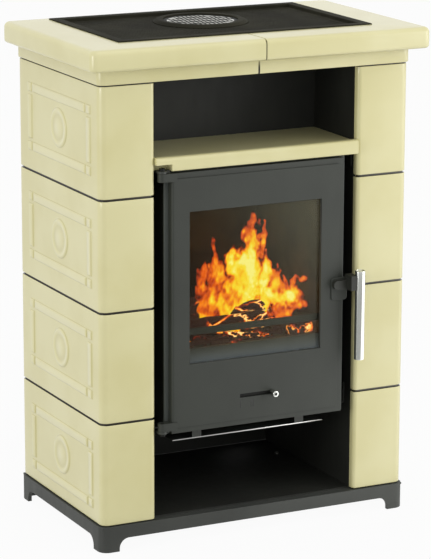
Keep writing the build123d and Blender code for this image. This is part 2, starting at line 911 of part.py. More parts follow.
with BuildPart() as ash_pan:
    block(pan_x, pan_y, (pan_floor, pan_floor + ash_pan_height))
    offset(amount=-sheet, openings=ash_pan.faces().sort_by(Axis.Z)[-1])
    block(
        grow(pan_x, -ash_pan_width / 3),
        (pan_front_y, pan_front_y + ash_pan_lip),
        (pan_floor + ash_pan_height - sheet, pan_floor + ash_pan_height),
    )
ash_pan.part.label = "ash_pan"
export_step(ash_pan.part, "parts/ash_pan.step")

guard_y = face_y + guard_setback

with BuildPart() as log_guard:
    block(
        (-brick_inside, brick_inside),
        (guard_y, guard_y + guard_thickness),
        (guard_bottom, guard_bottom + guard_height),
    )
    chamfer(log_guard.edges().filter_by(Axis.X), 1.0)
log_guard.part.label = "log_guard"
export_step(log_guard.part, "parts/log_guard.step")


def split_log(y, level, heading, turn, radius):
    """A quarter-split log on a heading in plan, its split corner turned about its length."""
    along = Vector(1, 0, 0).rotate(Axis.Z, heading)
    first_side = Vector(0, 0, 1).rotate(Axis((0, 0, 0), along), turn)
    plane = Plane(origin=(0, y, level), x_dir=first_side, z_dir=along)
    with BuildSketch(plane) as quarter:
        with BuildLine():
            Line((0, 0), (radius, 0))
            JernArc(start=(radius, 0), tangent=(0, 1), radius=radius, arc_size=90)
            Line((0, radius), (0, 0))
        make_face()
    extrude(quarter.sketch, amount=log_length / 2, both=True)


low_log = brick_floor + fit_gap
top_log = low_log + log_radius + fit_gap

with BuildPart() as firewood:
    split_log(ash_hole_y - log_spacing / 2, low_log, 0, 0, log_radius)
    split_log(ash_hole_y + log_spacing / 2, low_log, 0, -90, log_radius)
    split_log(ash_hole_y, top_log, -top_log_turn, -45, log_radius)
firewood.part.label = "firewood"
export_step(firewood.part, "parts/firewood.step")

with BuildPart() as rear_collar:
    with BuildSketch(upright(firebox_back_y)):
        with Locations((0, collar_level)):
            Circle(collar_flange)
            Circle(collar_radius - collar_wall, mode=Mode.SUBTRACT)
    extrude(amount=-collar_flange_thickness)
    for sleeve_radius, sleeve_end in (
        (collar_radius + collar_bead, rear_panel_y + collar_clearance),
        (collar_radius, back_y + collar_reach),
    ):
        with BuildSketch(upright(firebox_back_y)):
            with Locations((0, collar_level)):
                Circle(sleeve_radius)
                Circle(collar_radius - collar_wall, mode=Mode.SUBTRACT)
        extrude(amount=firebox_back_y - sleeve_end)
rear_collar.part.label = "rear_collar"
export_step(rear_collar.part, "parts/rear_collar.step")

with BuildPart() as blanking_plate:
    with BuildSketch(Plane.XY.offset(firebox_top)):
        with Locations((0, flue_y)):
            Circle(blanking_radius)
    extrude(amount=blanking_thickness)
blanking_plate.part.label = "blanking_plate"
export_step(blanking_plate.part, "parts/blanking_plate.step")

shield_y = face_y + shield_setback

with BuildPart() as heat_shield:
    block(
        (-shield_width / 2, shield_width / 2),
        (shield_y, firebox_back_y),
        (shield_level, shield_level + shield_thickness),
    )
    with Locations((0, middle((shield_y, firebox_back_y)), middle((shield_level, firebox_bottom)))):
        with GridLocations(
            2 * shield_tab_offset,
            firebox_back_y - shield_y - shield_thickness,
            2,
            2,
        ):
            Box(shield_tab_width, shield_thickness, firebox_bottom - shield_level)
heat_shield.part.label = "heat_shield"
export_step(heat_shield.part, "parts/heat_shield.step")

# ---------------------------------------------------------------- hinges and keeper on the firebox
lug_back_y = door_back_y
lug_front_y = door_front_y - lug_proud
lower_bracket_top = lower_lug_bottom - bracket_gap
upper_lug_bottom = front_frame_top - bracket_gap - lug_height


def bracket_plan(side, back):
    """The plan of a hinge bracket, with a round end about the pin and a reach to the side."""
    with Locations((hinge_x, hinge_y)):
        Circle(knuckle_radius)
    panel((hinge_x - knuckle_radius, hinge_x + side), (hinge_y, back))
    with Locations((hinge_x, hinge_y)):
        Circle(pin_radius + pin_clearance, mode=Mode.SUBTRACT)


with BuildPart() as bracket_upper:
    with BuildSketch(Plane.XY.offset(front_frame_top)):
        bracket_plan(upper_bracket_side, firebox_front_y)
    extrude(amount=bracket_thickness)
bracket_upper.part.label = "bracket_upper"
export_step(bracket_upper.part, "parts/bracket_upper.step")

with BuildPart() as bracket_lower:
    with BuildSketch(Plane.XY.offset(lower_bracket_top - bracket_thickness)):
        bracket_plan(lower_bracket_side, frame_front_y)
    extrude(amount=bracket_thickness)
bracket_lower.part.label = "bracket_lower"
export_step(bracket_lower.part, "parts/bracket_lower.step")

with BuildPart() as hinge_pins:
    for head_start, head_direction in (
        (front_frame_top + bracket_thickness, 1),
        (lower_bracket_top - bracket_thickness, -1),
    ):
        with BuildSketch(Plane.XY.offset(head_start)):
            with Locations((hinge_x, hinge_y)):
                Circle(pin_head_radius)
        extrude(amount=head_direction * pin_head_height)
        with BuildSketch(Plane.XY.offset(head_start)):
            with Locations((hinge_x, hinge_y)):
                Circle(pin_radius)
        extrude(amount=-head_direction * (bracket_thickness + lug_height))
hinge_pins.part.label = "hinge_pins"
export_step(hinge_pins.part, "parts/hinge_pins.step")

keeper_x = handle_x + cam_reach + keeper_gap
keeper_lip_y = cam_front_y - bracket_gap

with BuildPart() as latch_keeper:
    with BuildSketch(Plane.XY.offset(handle_level - keeper_width / 2)):
        panel((keeper_x, keeper_x + keeper_wall), (keeper_lip_y - keeper_lip_thickness, frame_front_y))
        panel(
            (keeper_x - keeper_lip, keeper_x + keeper_wall),
            (keeper_lip_y - keeper_lip_thickness, keeper_lip_y),
        )
    extrude(amount=keeper_width)
latch_keeper.part.label = "latch_keeper"
export_step(latch_keeper.part, "parts/latch_keeper.step")

# ---------------------------------------------------------------- door
door_x = (door_left, door_right)
door_z = (door_bottom, door_top)
window_x = (window_left, window_right)
window_z = (window_bottom, window_top)
seal_x = (-seal_half_width, seal_half_width)
seal_z = (seal_bottom, seal_top)


def ring(x, z, outward, mode=Mode.ADD):
    """A rectangular ring drawn outwards from an inner rectangle, in the sketch being drawn."""
    panel(grow(x, outward), grow(z, outward), mode)
    panel(x, z, Mode.SUBTRACT)


with BuildPart() as door_frame:
    with BuildSketch(upright(door_front_y)):
        panel(door_x, door_z)
    extrude(amount=-door_skin - border_backing)
    with BuildSketch(upright(skin_back_y)):
        panel(grow(door_x, -border_ring), grow(door_z, -border_ring / 3))
    extrude(amount=-border_backing, mode=Mode.SUBTRACT)
    with BuildSketch(upright(border_back_y)):
        ring(grow(door_x, -door_flange), grow(door_z, -door_flange), door_flange)
    extrude(amount=border_back_y - door_back_y)
    with BuildSketch(upright(skin_back_y)):
        ring(grow(seal_x, -seal_wall), grow(seal_z, -seal_wall), seal_wall)
    extrude(amount=-channel_depth)
    with BuildSketch(upright(skin_back_y)):
        ring(grow(seal_x, seal_width), grow(seal_z, seal_width), seal_wall)
    extrude(amount=-channel_depth)
    with BuildSketch(upright(door_front_y)):
        panel((door_left, door_right), door_z)
        panel(
            (door_left, door_right - border_width),
            grow(door_z, -border_width),
            Mode.SUBTRACT,
        )
    extrude(amount=-border_step, taper=-30, mode=Mode.SUBTRACT)
    left_edge = door_frame.edges().filter_by(Axis.Z).sort_by_distance(
        (door_left, door_front_y, middle(door_z))
    )[0]
    fillet(left_edge, door_edge_radius)
    with BuildSketch(upright(door_front_y)):
        panel(window_x, window_z)
    extrude(amount=-door_thickness, mode=Mode.SUBTRACT)
    with BuildSketch(upright(door_front_y)):
        panel(
            (slot_left, slot_right),
            (slot_level - slot_height / 2, slot_level + slot_height / 2),
        )
    extrude(amount=-door_thickness, mode=Mode.SUBTRACT)
    for lug_bottom in (upper_lug_bottom, lower_lug_bottom):
        block(
            (door_left, door_left + lug_overlap),
            (door_front_y, door_back_y),
            (lug_bottom, lug_bottom + lug_height),
            Mode.SUBTRACT,
        )
    block(
        (door_right - door_flange, door_right),
        (border_back_y, door_back_y),
        (handle_level - keeper_width / 2, handle_level - keeper_width / 2 + cam_notch_height),
        Mode.SUBTRACT,
    )
    with BuildSketch(upright(door_front_y)):
        with Locations((handle_x, handle_level)):
            Circle(bush_radius)
    extrude(amount=-door_skin - border_backing, mode=Mode.SUBTRACT)
door_frame.part.label = "door_frame"
export_step(door_frame.part, "parts/door_frame.step")

glass_y = skin_back_y + glass_seal_thickness

with BuildPart() as glass_seal:
    with BuildSketch(upright(skin_back_y)):
        ring(window_x, window_z, glass_overlap)
    extrude(amount=-glass_seal_thickness)
glass_seal.part.label = "glass_seal"
export_step(glass_seal.part, "parts/glass_seal.step")

with BuildPart() as door_glass:
    with BuildSketch(upright(glass_y)):
        panel(grow(window_x, glass_overlap), grow(window_z, glass_overlap))
    extrude(amount=-glass_thickness)
door_glass.part.label = "door_glass"
export_step(door_glass.part, "parts/door_glass.step")

clip_back_y = glass_y + glass_thickness + sheet

with BuildPart() as glass_clips:
    for clip_edge, outward in ((window_top + glass_overlap, 1), (window_bottom - glass_overlap, -1)):
        clip_outer = clip_edge + outward * clip_reach
        for clip_x in (middle(window_x) - clip_spacing / 2, middle(window_x) + clip_spacing / 2):
            clip_span = (clip_x - clip_width / 2, clip_x + clip_width / 2)
            block(clip_span, (skin_back_y, clip_back_y), ordered(clip_edge, clip_outer))
            block(
                clip_span,
                (glass_y + glass_thickness, clip_back_y),
                ordered(clip_edge - outward * clip_reach, clip_outer),
            )
glass_clips.part.label = "glass_clips"
export_step(glass_clips.part, "parts/glass_clips.step")

with BuildPart() as door_seal:
    with BuildSketch(upright(skin_back_y)):
        ring(seal_x, seal_z, seal_width)
    extrude(amount=skin_back_y - frame_front_y + seal_gap)
door_seal.part.label = "door_seal"
export_step(door_seal.part, "parts/door_seal.step")


def build_lug(bottom):
    """A hinge block: a round knuckle about the pin, let into the door's edge."""
    with BuildPart() as lug:
        with BuildSketch(Plane.XY.offset(bottom)):
            panel((hinge_x, door_left + lug_overlap), (lug_front_y, lug_back_y))
            with Locations((hinge_x, hinge_y)):
                Circle(knuckle_radius)
                Circle(pin_radius + pin_clearance, mode=Mode.SUBTRACT)
        extrude(amount=lug_height)
    return lug


lug_upper = build_lug(upper_lug_bottom)
lug_upper.part.label = "lug_upper"
export_step(lug_upper.part, "parts/lug_upper.step")

lug_lower = build_lug(lower_lug_bottom)
lug_lower.part.label = "lug_lower"
export_step(lug_lower.part, "parts/lug_lower.step")

guide_x = (slide_left - slide_travel - 2.0, slide_right + 2.0)
slide_back_y = skin_back_y + slide_gap + slide_thickness

with BuildPart() as air_guide:
    for up in (-1, 1):
        rail_edge = slot_level + up * (slide_height / 2 + slide_gap)
        lip_back_y = slide_back_y + slide_gap + guide_lip_thickness
        block(guide_x, (skin_back_y, lip_back_y), ordered(rail_edge, rail_edge + up * guide_wall))
        block(
            guide_x,
            (slide_back_y + slide_gap, lip_back_y),
            ordered(rail_edge - up * guide_lip, rail_edge + up * guide_wall),
        )
air_guide.part.label = "air_guide"
export_step(air_guide.part, "parts/air_guide.step")

with BuildPart() as latch_plate:
    with BuildSketch(upright(door_front_y)) as latch_outline:
        panel(
            (handle_x - latch_plate_inner, handle_x + latch_plate_outer),
            (handle_level - latch_plate_below, handle_level + latch_plate_above),
        )
        fillet(latch_outline.vertices(), latch_plate_radius)
        with Locations((handle_x, handle_level)):
            Circle(bush_radius, mode=Mode.SUBTRACT)
    extrude(amount=latch_plate_thickness)
    chamfer(latch_plate.faces().sort_by(Axis.Y)[0].outer_wire().edges(), 0.8)
latch_plate.part.label = "latch_plate"
export_step(latch_plate.part, "parts/latch_plate.step")

with BuildPart() as latch_bush:
    with BuildSketch(upright(plate_front_face)):
        with Locations((handle_x, handle_level)):
            Circle(bush_radius)
            Circle(shaft_radius + pin_clearance, mode=Mode.SUBTRACT)
    extrude(amount=plate_front_face - border_back_y)
latch_bush.part.label = "latch_bush"
export_step(latch_bush.part, "parts/latch_bush.step")

# ---------------------------------------------------------------- handle
arm_front_y = arm_back_y - arm_depth
arm_z = (handle_level - arm_height / 2, handle_level + arm_height / 2)
clamp_right = grip_x - grip_radius + clamp_bite

with BuildPart() as handle_arm:
    with BuildSketch(upright(arm_back_y)) as arm_outline:
        panel((handle_x - arm_height, handle_x + arm_height), arm_z)
        for arm_edge in arm_z:
            arm_corner = nearest_corner(arm_outline, handle_x - arm_height, arm_edge)
            fillet(arm_corner, arm_height / 2 - 0.5)
    extrude(amount=arm_depth)
    block(
        (clamp_right - clamp_width, clamp_right),
        (grip_y - clamp_depth / 4, arm_back_y - clamp_step),
        (handle_level - clamp_height / 3, handle_level + clamp_height * 2 / 3),
    )
    with BuildSketch(Plane.XY.offset(grip_bottom)):
        with Locations((grip_x, grip_y)):
            Circle(grip_radius)
    extrude(amount=grip_top - grip_bottom, mode=Mode.SUBTRACT)
    with BuildSketch(upright(arm_back_y)):
        with Locations((handle_x, handle_level)):
            Circle(shaft_radius)
    extrude(amount=arm_depth / 2, mode=Mode.SUBTRACT)
    chamfer(handle_arm.faces().filter_by(Axis.Y).sort_by(Axis.Y)[0].edges(), 0.8)
handle_arm.part.label = "handle_arm"
export_step(handle_arm.part, "parts/handle_arm.step")

with BuildPart() as handle_grip:
    with BuildSketch(Plane.XY.offset(grip_bottom)):
        with Locations((grip_x, grip_y)):
            Circle(grip_radius)
            Circle(grip_radius - grip_wall, mode=Mode.SUBTRACT)
    extrude(amount=grip_top - grip_bottom)
handle_grip.part.label = "handle_grip"
export_step(handle_grip.part, "parts/handle_grip.step")

with BuildPart() as grip_plugs:
    for plug_level in (grip_bottom, grip_top - plug_thickness):
        with BuildSketch(Plane.XY.offset(plug_level)):
            with Locations((grip_x, grip_y)):
                Circle(grip_radius - grip_wall)
        extrude(amount=plug_thickness)
grip_plugs.part.label = "grip_plugs"
export_step(grip_plugs.part, "parts/grip_plugs.step")

with BuildPart() as latch_shaft:
    with BuildSketch(upright(arm_back_y - arm_depth / 2)):
        with Locations((handle_x, handle_level)):
            Circle(shaft_radius)
    extrude(amount=arm_back_y - arm_depth / 2 - cam_front_y - cam_thickness)
latch_shaft.part.label = "latch_shaft"
export_step(latch_shaft.part, "parts/latch_shaft.step")

with BuildPart() as latch_cam:
    with BuildSketch(upright(cam_front_y)):
        with Locations((handle_x, handle_level)):
            Circle(cam_hub_radius)
            Circle(cam_reach)
        with BuildSketch(mode=Mode.INTERSECT):
            with Locations((handle_x, handle_level)):
                Circle(cam_hub_radius)
            panel(
                (handle_x, handle_x + cam_reach),
                (handle_level - cam_width / 2, handle_level + cam_width / 2),
            )
        with Locations((handle_x, handle_level)):
            Circle(shaft_radius, mode=Mode.SUBTRACT)
    extrude(amount=-cam_thickness)
latch_cam.part.label = "latch_cam"
export_step(latch_cam.part, "parts/latch_cam.step")

# ---------------------------------------------------------------- air slider
knob_front_y = door_front_y - knob_stand_off - knob_length
knob_back_y = door_front_y - knob_stand_off

with BuildPart() as air_slide:
    with BuildSketch(upright(skin_back_y + slide_gap)):
        panel(
            (slide_left, slide_right),
            (slot_level - slide_height / 2, slot_level + slide_height / 2),
        )
    extrude(amount=-slide_thickness)
air_slide.part.label = "air_slide"
export_step(air_slide.part, "parts/air_slide.step")

with BuildPart() as air_knob:
    with BuildSketch(Plane.XY.offset(slot_level)) as knob_section:
        with BuildLine():
            Polyline(
                (knob_x, skin_back_y + slide_gap),
                (knob_x + knob_neck, skin_back_y + slide_gap),
                (knob_x + knob_neck, knob_back_y),
                (knob_x + knob_radius, knob_back_y),
                (knob_x + knob_radius, knob_front_y),
                (knob_x + knob_screw_radius, knob_front_y),
                (knob_x + knob_screw_radius, knob_front_y + knob_screw_radius),
                (knob_x, knob_front_y + knob_screw_radius),
                close=True,
            )
        make_face()
        chamfer(nearest_corner(knob_section, knob_x + knob_radius, knob_front_y), 1.2)
        chamfer(nearest_corner(knob_section, knob_x + knob_radius, knob_back_y), 0.8)
    revolve(axis=Axis((knob_x, 0, slot_level), (0, 1, 0)))
air_knob.part.label = "air_knob"
export_step(air_knob.part, "parts/air_knob.step")

with BuildPart() as knob_screw:
    with BuildSketch(upright(knob_front_y + knob_screw_radius)):
        with Locations((knob_x, slot_level)):
            Circle(knob_screw_radius)
            RegularPolygon(knob_screw_radius / 2, 6, mode=Mode.SUBTRACT)
    extrude(amount=knob_screw_radius - knob_screw_proud)
knob_screw.part.label = "knob_screw"
export_step(knob_screw.part, "parts/knob_screw.step")
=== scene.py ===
"""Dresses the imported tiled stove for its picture.

Every shape is worked out in millimetres as (x, depth behind the tiles' face, height), and is
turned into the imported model's metres when its mesh is made. Each sub-assembly is a class with
its own sizes.
"""

from __future__ import annotations

import json
import logging
import math
from dataclasses import dataclass, field
from enum import Enum
from typing import Callable, Sequence

import bmesh
import bpy
import numpy as np
from mathutils import Matrix, Vector

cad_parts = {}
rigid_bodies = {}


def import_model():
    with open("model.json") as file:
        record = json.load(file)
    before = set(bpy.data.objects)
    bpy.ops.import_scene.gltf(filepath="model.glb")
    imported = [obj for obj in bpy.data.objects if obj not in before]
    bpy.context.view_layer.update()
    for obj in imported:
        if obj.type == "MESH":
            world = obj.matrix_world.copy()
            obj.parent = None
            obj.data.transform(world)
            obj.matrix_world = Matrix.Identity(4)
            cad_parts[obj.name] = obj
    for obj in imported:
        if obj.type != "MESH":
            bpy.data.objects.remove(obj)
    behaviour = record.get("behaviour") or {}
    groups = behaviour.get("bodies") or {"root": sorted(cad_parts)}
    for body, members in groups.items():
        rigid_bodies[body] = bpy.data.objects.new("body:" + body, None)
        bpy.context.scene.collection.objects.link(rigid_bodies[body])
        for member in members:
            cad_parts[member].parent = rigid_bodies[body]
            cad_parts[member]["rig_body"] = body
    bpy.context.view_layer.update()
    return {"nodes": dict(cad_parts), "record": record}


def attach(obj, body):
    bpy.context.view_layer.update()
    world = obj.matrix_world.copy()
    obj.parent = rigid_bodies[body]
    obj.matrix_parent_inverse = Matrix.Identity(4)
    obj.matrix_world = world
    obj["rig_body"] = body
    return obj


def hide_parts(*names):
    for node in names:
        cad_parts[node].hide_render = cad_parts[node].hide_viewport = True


LOG = logging.getLogger("stove")

FACE = -0.1929  # where the tiles' face lies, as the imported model's Y in metres
MM = 0.001  # metres in a millimetre
QUARTER, FULL = math.pi / 2, 2 * math.pi
SIDES = ("left", "right")
WHITE = (1.0, 1.0, 1.0)

Colour = tuple[float, float, float]
Place = tuple[float, float, float]
Span = tuple[float, float]
Plan = tuple[float, float]


def paint_value(red: float, green: float, blue: float) -> Colour:
    """Turns a paint colour as seen on screen (0 to 255) into the light values that shaders use.

    Args:
        red: Red part, 0 to 255.
        green: Green part, 0 to 255.
        blue: Blue part, 0 to 255.

    Returns:
        The three linear values, 0 to 1.
    """
    seen = np.array([red, green, blue]) / 255.0
    low, high = seen / 12.92, ((seen + 0.055) / 1.055) ** 2.4
    return tuple(float(v) for v in np.where(seen <= 0.04045, low, high))


def shade(colour: Colour, factor: float) -> Colour:
    """A colour made lighter or darker by a factor, up to white."""
    return tuple(min(1.0, c * factor) for c in colour)


def ease(value: np.ndarray, low: float, high: float) -> np.ndarray:
    """A soft step: 0 below low, 1 above high, and 3t^2 - 2t^3 between them."""
    t = np.clip((value - low) / (high - low), 0.0, 1.0)
    return t * t * (3.0 - 2.0 * t)


def cloud(
    across: np.ndarray, up: np.ndarray, seed: int, layers: int = 4, fade: float = 0.5
) -> np.ndarray:
    """Cloudy values from 0 to 1: layers of random tables, each twice as fine as the last.

    Args:
        across: One coordinate, in cells of the coarsest layer.
        up: The other coordinate.
        seed: Which table is drawn.
        layers: How many layers are added up.
        fade: How much weaker each layer is than the one before.

    Returns:
        The weighted mean of the layers.
    """
    rng = np.random.default_rng(seed)
    cells, shift_across, shift_up = 64, 7.3, 3.1
    total, weight, size = np.zeros_like(across), 0.0, 1.0
    for layer in range(layers):
        table = rng.random((cells, cells))
        p, q = across * 2**layer + shift_across * layer, up * 2**layer + shift_up * layer
        i, j = np.floor(p).astype(int), np.floor(q).astype(int)
        s, t = ease(p - i, 0.0, 1.0), ease(q - j, 0.0, 1.0)
        i0, i1, j0, j1 = i % cells, (i + 1) % cells, j % cells, (j + 1) % cells
        low = table[i0, j0] * (1 - s) + table[i1, j0] * s
        high = table[i0, j1] * (1 - s) + table[i1, j1] * s
        total += size * (low * (1 - t) + high * t)
        weight += size
        size *= fade
    return total / weight


# ---------------------------------------------------------------- meshes
def net_quads(rows: int, columns: int, closed: bool = False) -> np.ndarray:
    """The corners of a net's faces, n by 4, where closed joins the last column to the first."""
    index = np.arange(rows * columns).reshape(rows, columns)
    if closed:
        index = np.concatenate([index, index[:, :1]], axis=1)
    around = [index[:-1, :-1], index[:-1, 1:], index[1:, 1:], index[1:, :-1]]
    return np.stack(around, axis=-1).reshape(-1, 4)


def first_trace(like: np.ndarray, value: np.ndarray | float) -> np.ndarray:
    """A trace for every point of a net, with the value as its first number."""
    trace = np.zeros(like.shape + (3,))
    trace[..., 0] = value
    return trace


@dataclass
class Shell:
    """Gathers nets of points into one mesh. Points are (x, depth, height) in millimetres."""

    points: list[np.ndarray] = field(default_factory=list)
    traces: list[np.ndarray] = field(default_factory=list)
    corners: list[np.ndarray] = field(default_factory=list)
    counts: list[np.ndarray] = field(default_factory=list)
    kinds: list[np.ndarray] = field(default_factory=list)
    total: int = 0

    def _take(self, places: np.ndarray, trace: np.ndarray | None) -> int:
        """Stores a flat list of points with their traces, and returns the first one's number."""
        first = self.total
        self.points.append(places.reshape(-1, 3))
        flat = np.zeros((places.size // 3, 3)) if trace is None else trace.reshape(-1, 3)
        self.traces.append(flat)
        self.total += len(flat)
        return first

    def net(
        self, places: np.ndarray, closed: bool = False, trace: np.ndarray | None = None
    ) -> None:
        """Adds a net of four-sided faces.

        Args:
            places: Points as rows by columns by 3.
            closed: Whether the last column joins the first.
            trace: Three numbers for each point, which a material can read.
        """
        quads = net_quads(*places.shape[:2], closed)
        self.faces(places, quads, np.zeros(len(quads), int), trace)

    def flat(self, outline: np.ndarray) -> None:
        """Adds one flat face with the given outline, points by 3."""
        first = self._take(outline, None)
        self.corners.append(np.arange(len(outline)) + first)
        self.counts.append(np.array([len(outline)]))
        self.kinds.append(np.array([0]))

    def faces(
        self,
        places: np.ndarray,
        quads: np.ndarray,
        kinds: np.ndarray,
        trace: np.ndarray | None = None,
    ) -> None:
        """Adds points and four-sided faces, m by 4, each face in one of the piece's finishes."""
        first = self._take(places, trace)
        self.corners.append((quads + first).reshape(-1))
        self.counts.append(np.full(len(quads), 4))
        self.kinds.append(kinds)

    def build(self, name: str, crease: float = 35.0, weld: bool = True) -> bpy.types.Object:
        """Makes the object, with its seams merged and its faces turned outwards.

        Args:
            name: The piece's name.
            crease: Edges sharper than this many degrees stay sharp.
            weld: Whether points that meet are merged.

        Returns:
            The new object, at the origin.
        """
        places = np.concatenate(self.points) * MM
        places[:, 1] += FACE
        corners, counts = np.concatenate(self.corners), np.concatenate(self.counts)
        mesh = bpy.data.meshes.new(name)
        mesh.vertices.add(len(places))
        mesh.vertices.foreach_set("co", places.astype(np.float32).ravel())
        mesh.loops.add(len(corners))
        mesh.loops.foreach_set("vertex_index", corners.astype(np.int32))
        mesh.polygons.add(len(counts))
        starts = np.concatenate([[0], np.cumsum(counts)[:-1]])
        mesh.polygons.foreach_set("loop_start", starts.astype(np.int32))
        mesh.polygons.foreach_set("material_index", np.concatenate(self.kinds).astype(np.int32))
        mesh.update(calc_edges=True)
        trace = mesh.attributes.new("trace", "FLOAT_VECTOR", "POINT")
        trace.data.foreach_set("vector", np.concatenate(self.traces).astype(np.float32).ravel())
        tidy_mesh(mesh, weld)
        mesh.shade_smooth()
        mesh.set_sharp_from_angle(angle=math.radians(crease))
        thing = bpy.data.objects.new(name, mesh)
        bpy.context.scene.collection.objects.link(thing)
        return thing


def tidy_mesh(mesh: bpy.types.Mesh, weld: bool) -> None:
    """Merges points that meet, drops faces without area and turns the rest outwards.

    Args:
        mesh: The mesh to tidy.
        weld: Whether points that meet are merged.
    """
    work = bmesh.new()
    work.from_mesh(mesh)
    if weld:
        bmesh.ops.remove_doubles(work, verts=work.verts, dist=2e-6)
        bmesh.ops.dissolve_degenerate(work, edges=work.edges, dist=1e-7)
    bmesh.ops.recalc_face_normals(work, faces=work.faces)
    work.to_mesh(mesh)
    work.free()
    mesh.update()


def route(
    corners: Sequence[Place],
    weights: Sequence[float] | None = None,
    knots: dict[int, np.ndarray] | None = None,
    steps: int = 9,
) -> tuple[np.ndarray, np.ndarray]:
    """A path in plan round right-angled corners, with the way inwards at each point.

    Straight stretches run between the corners. A corner with a radius becomes a quarter circle of
    centre c: c - r (cos(a) n1 + sin(a) n2), where n1 and n2 point inwards from its two edges.

    Args:
        corners: (x, depth, radius) of each corner, with the inside on the left.
        weights: How much each edge follows an inset; all of it by default.
        knots: Extra places along an edge, as x or depth, by the edge's number.
        steps: Points in a quarter circle.

    Returns:
        The points and their ways inwards, each n by 2.
    """
    plan = np.array([c[:2] for c in corners], float)
    along = np.diff(plan, axis=0)
    along /= np.linalg.norm(along, axis=1)[:, None]
    inward = np.stack([-along[:, 1], along[:, 0]], axis=1)
    weight = np.ones(len(along)) if weights is None else np.array(weights, float)
    places, ways = [plan[:1]], [weight[0] * inward[:1]]
    for i in range(1, len(plan)):
        if knots and i - 1 in knots:
            axis = int(np.argmax(np.abs(along[i - 1])))
            fixed = np.repeat(plan[i : i + 1], len(knots[i - 1]), axis=0)
            fixed[:, axis] = knots[i - 1]
            places.append(fixed)
            ways.append(np.repeat(weight[i - 1] * inward[i - 1 : i], len(fixed), axis=0))
        if i == len(plan) - 1:
            places.append(plan[i : i + 1])
            ways.append(weight[i - 1] * inward[i - 1 : i])
            break
        radius = corners[i][2]
        if radius > 0:
            turn = np.linspace(0, QUARTER, steps)[:, None]
            fan = np.cos(turn) * inward[i - 1] + np.sin(turn) * inward[i]
            centre = plan[i] + radius * (inward[i - 1] - along[i - 1])
            places.append(centre - radius * fan)
            ways.append(fan)
        else:
            both = weight[i - 1] * inward[i - 1] + weight[i] * inward[i]
            places.append(plan[i : i + 1])
            ways.append(both[None])
    return np.concatenate(places), np.concatenate(ways)


def rounded(
    low: float, high: float, low_radius: float, high_radius: float, steps: int = 6
) -> np.ndarray:
    """Heights and insets of a wall with quarter-round edges at its foot and top.

    At an edge of radius r the pair is (r - r cos(a), r - r sin(a)), from the foot up to the side.

    Args:
        low: Height of the foot.
        high: Height of the top.
        low_radius: Radius at the foot.
        high_radius: Radius at the top.
        steps: Points in each quarter circle.

    Returns:
        Height and inset pairs, n by 2.
    """
    turn = np.linspace(0, QUARTER, steps)
    along, inset = 1 - np.cos(turn), 1 - np.sin(turn)
    foot = np.stack([low + low_radius * along, low_radius * inset], 1)
    top = np.stack([high - high_radius * along, high_radius * inset], 1)
    return np.concatenate([foot, top[::-1]])


@dataclass
class Wall:
    """A wall carried along a path in plan, closed by an inner wall: the path cut to a box."""

    corners: Sequence[Place]
    inner_x: Span
    inner_depth: Span
    profile: np.ndarray
    weights: Sequence[float] | None = None
    knots: dict[int, np.ndarray] | None = None
    mirror: bool = False
    bump: Callable[[np.ndarray, np.ndarray, np.ndarray], np.ndarray] | None = None
    joint_from: float = 99.0
    seam_x: float = -99.0
    seam_share: float = 1.0
    seam_below: float = 4.0

    def add_to(self, shell: Shell) -> None:
        """Adds the wall to a shell.

        The outer face is P + N s at height h for each (h, s) of the profile, where N points inwards.
        The inner face is P cut to the inner box. Ends are closed by flat faces. The trace keeps the
        rise of the relief, and how much of the dark joint colour the place takes: 1 where the inset
        is over joint_from, the seam's share along a seam below the top, which is painted shade
        there, and else 0.
        """
        plan, way = route(self.corners, self.weights, self.knots)
        height, inset = self.profile[:, 0], self.profile[:, 1]
        outer = np.empty((len(height), len(plan), 3))
        outer[..., :2] = plan[None] + inset[:, None, None] * way[None]
        outer[..., 2] = height[:, None]
        trace = np.zeros_like(outer)
        # Along a seam the dark joint colour is painted shade.
        seam = np.where(plan[:, 0] <= self.seam_x + 0.01, self.seam_share, 0.0)
        front = height[:, None] < height.max() - self.seam_below
        trace[..., 1] = np.maximum((inset > self.joint_from)[:, None], seam[None] * front)
        if self.bump is not None:
            rise = self.bump(outer[..., 0], outer[..., 1], outer[..., 2])
            outer[..., 0] += rise
            trace[..., 0] = rise
        inner = np.empty((2, len(plan), 3))
        inner[..., 0] = np.clip(plan[:, 0], *self.inner_x)
        inner[..., 1] = np.clip(plan[:, 1], *self.inner_depth)
        inner[..., 2] = height[[-1, 0]][:, None]
        flip = [-1.0 if self.mirror else 1.0, 1.0, 1.0]
        loop = np.concatenate([outer, inner, outer[:1]]) * np.array(flip)
        hidden = np.zeros((2, len(plan), 3))
        shell.net(loop, trace=np.concatenate([trace, hidden, trace[:1]]))
        for end in (0, -1):
            shell.flat(loop[:-1, end])


def turned(
    shell: Shell, profile: np.ndarray, centre: Place, axis: str = "z", steps: int = 96
) -> None:
    """Adds a turned shape: each (radius, place) of the profile swept once round an axis.

    Args:
        shell: The shell to add to.
        profile: Radius and place along the axis, n by 2. A radius of 0 closes an end.
        centre: The axis's own place, in (x, depth, height).
        axis: "z" for an upright axis, or "y" for one that runs front to back.
        steps: Points round the axis.
    """
    turn = np.linspace(0, FULL, steps, endpoint=False)
    radius, place = profile[:, 0][:, None], profile[:, 1][:, None]
    across, beside = radius * np.cos(turn), radius * np.sin(turn)
    along = np.broadcast_to(place, across.shape)
    parts = (across, beside, along) if axis == "z" else (across, along, beside)
    shell.net(np.stack(parts, axis=-1) + np.array(centre), closed=True)


def turned_piece(
    name: str, profile: Sequence[Plan], centre: Place, axis: str = "z", steps: int = 96
) -> bpy.types.Object:
    """Builds a piece that is one turned shape, with the arguments of turned."""
    shell = Shell()
    turned(shell, np.array(profile), centre, axis, steps)
    return shell.build(name, crease=40.0)


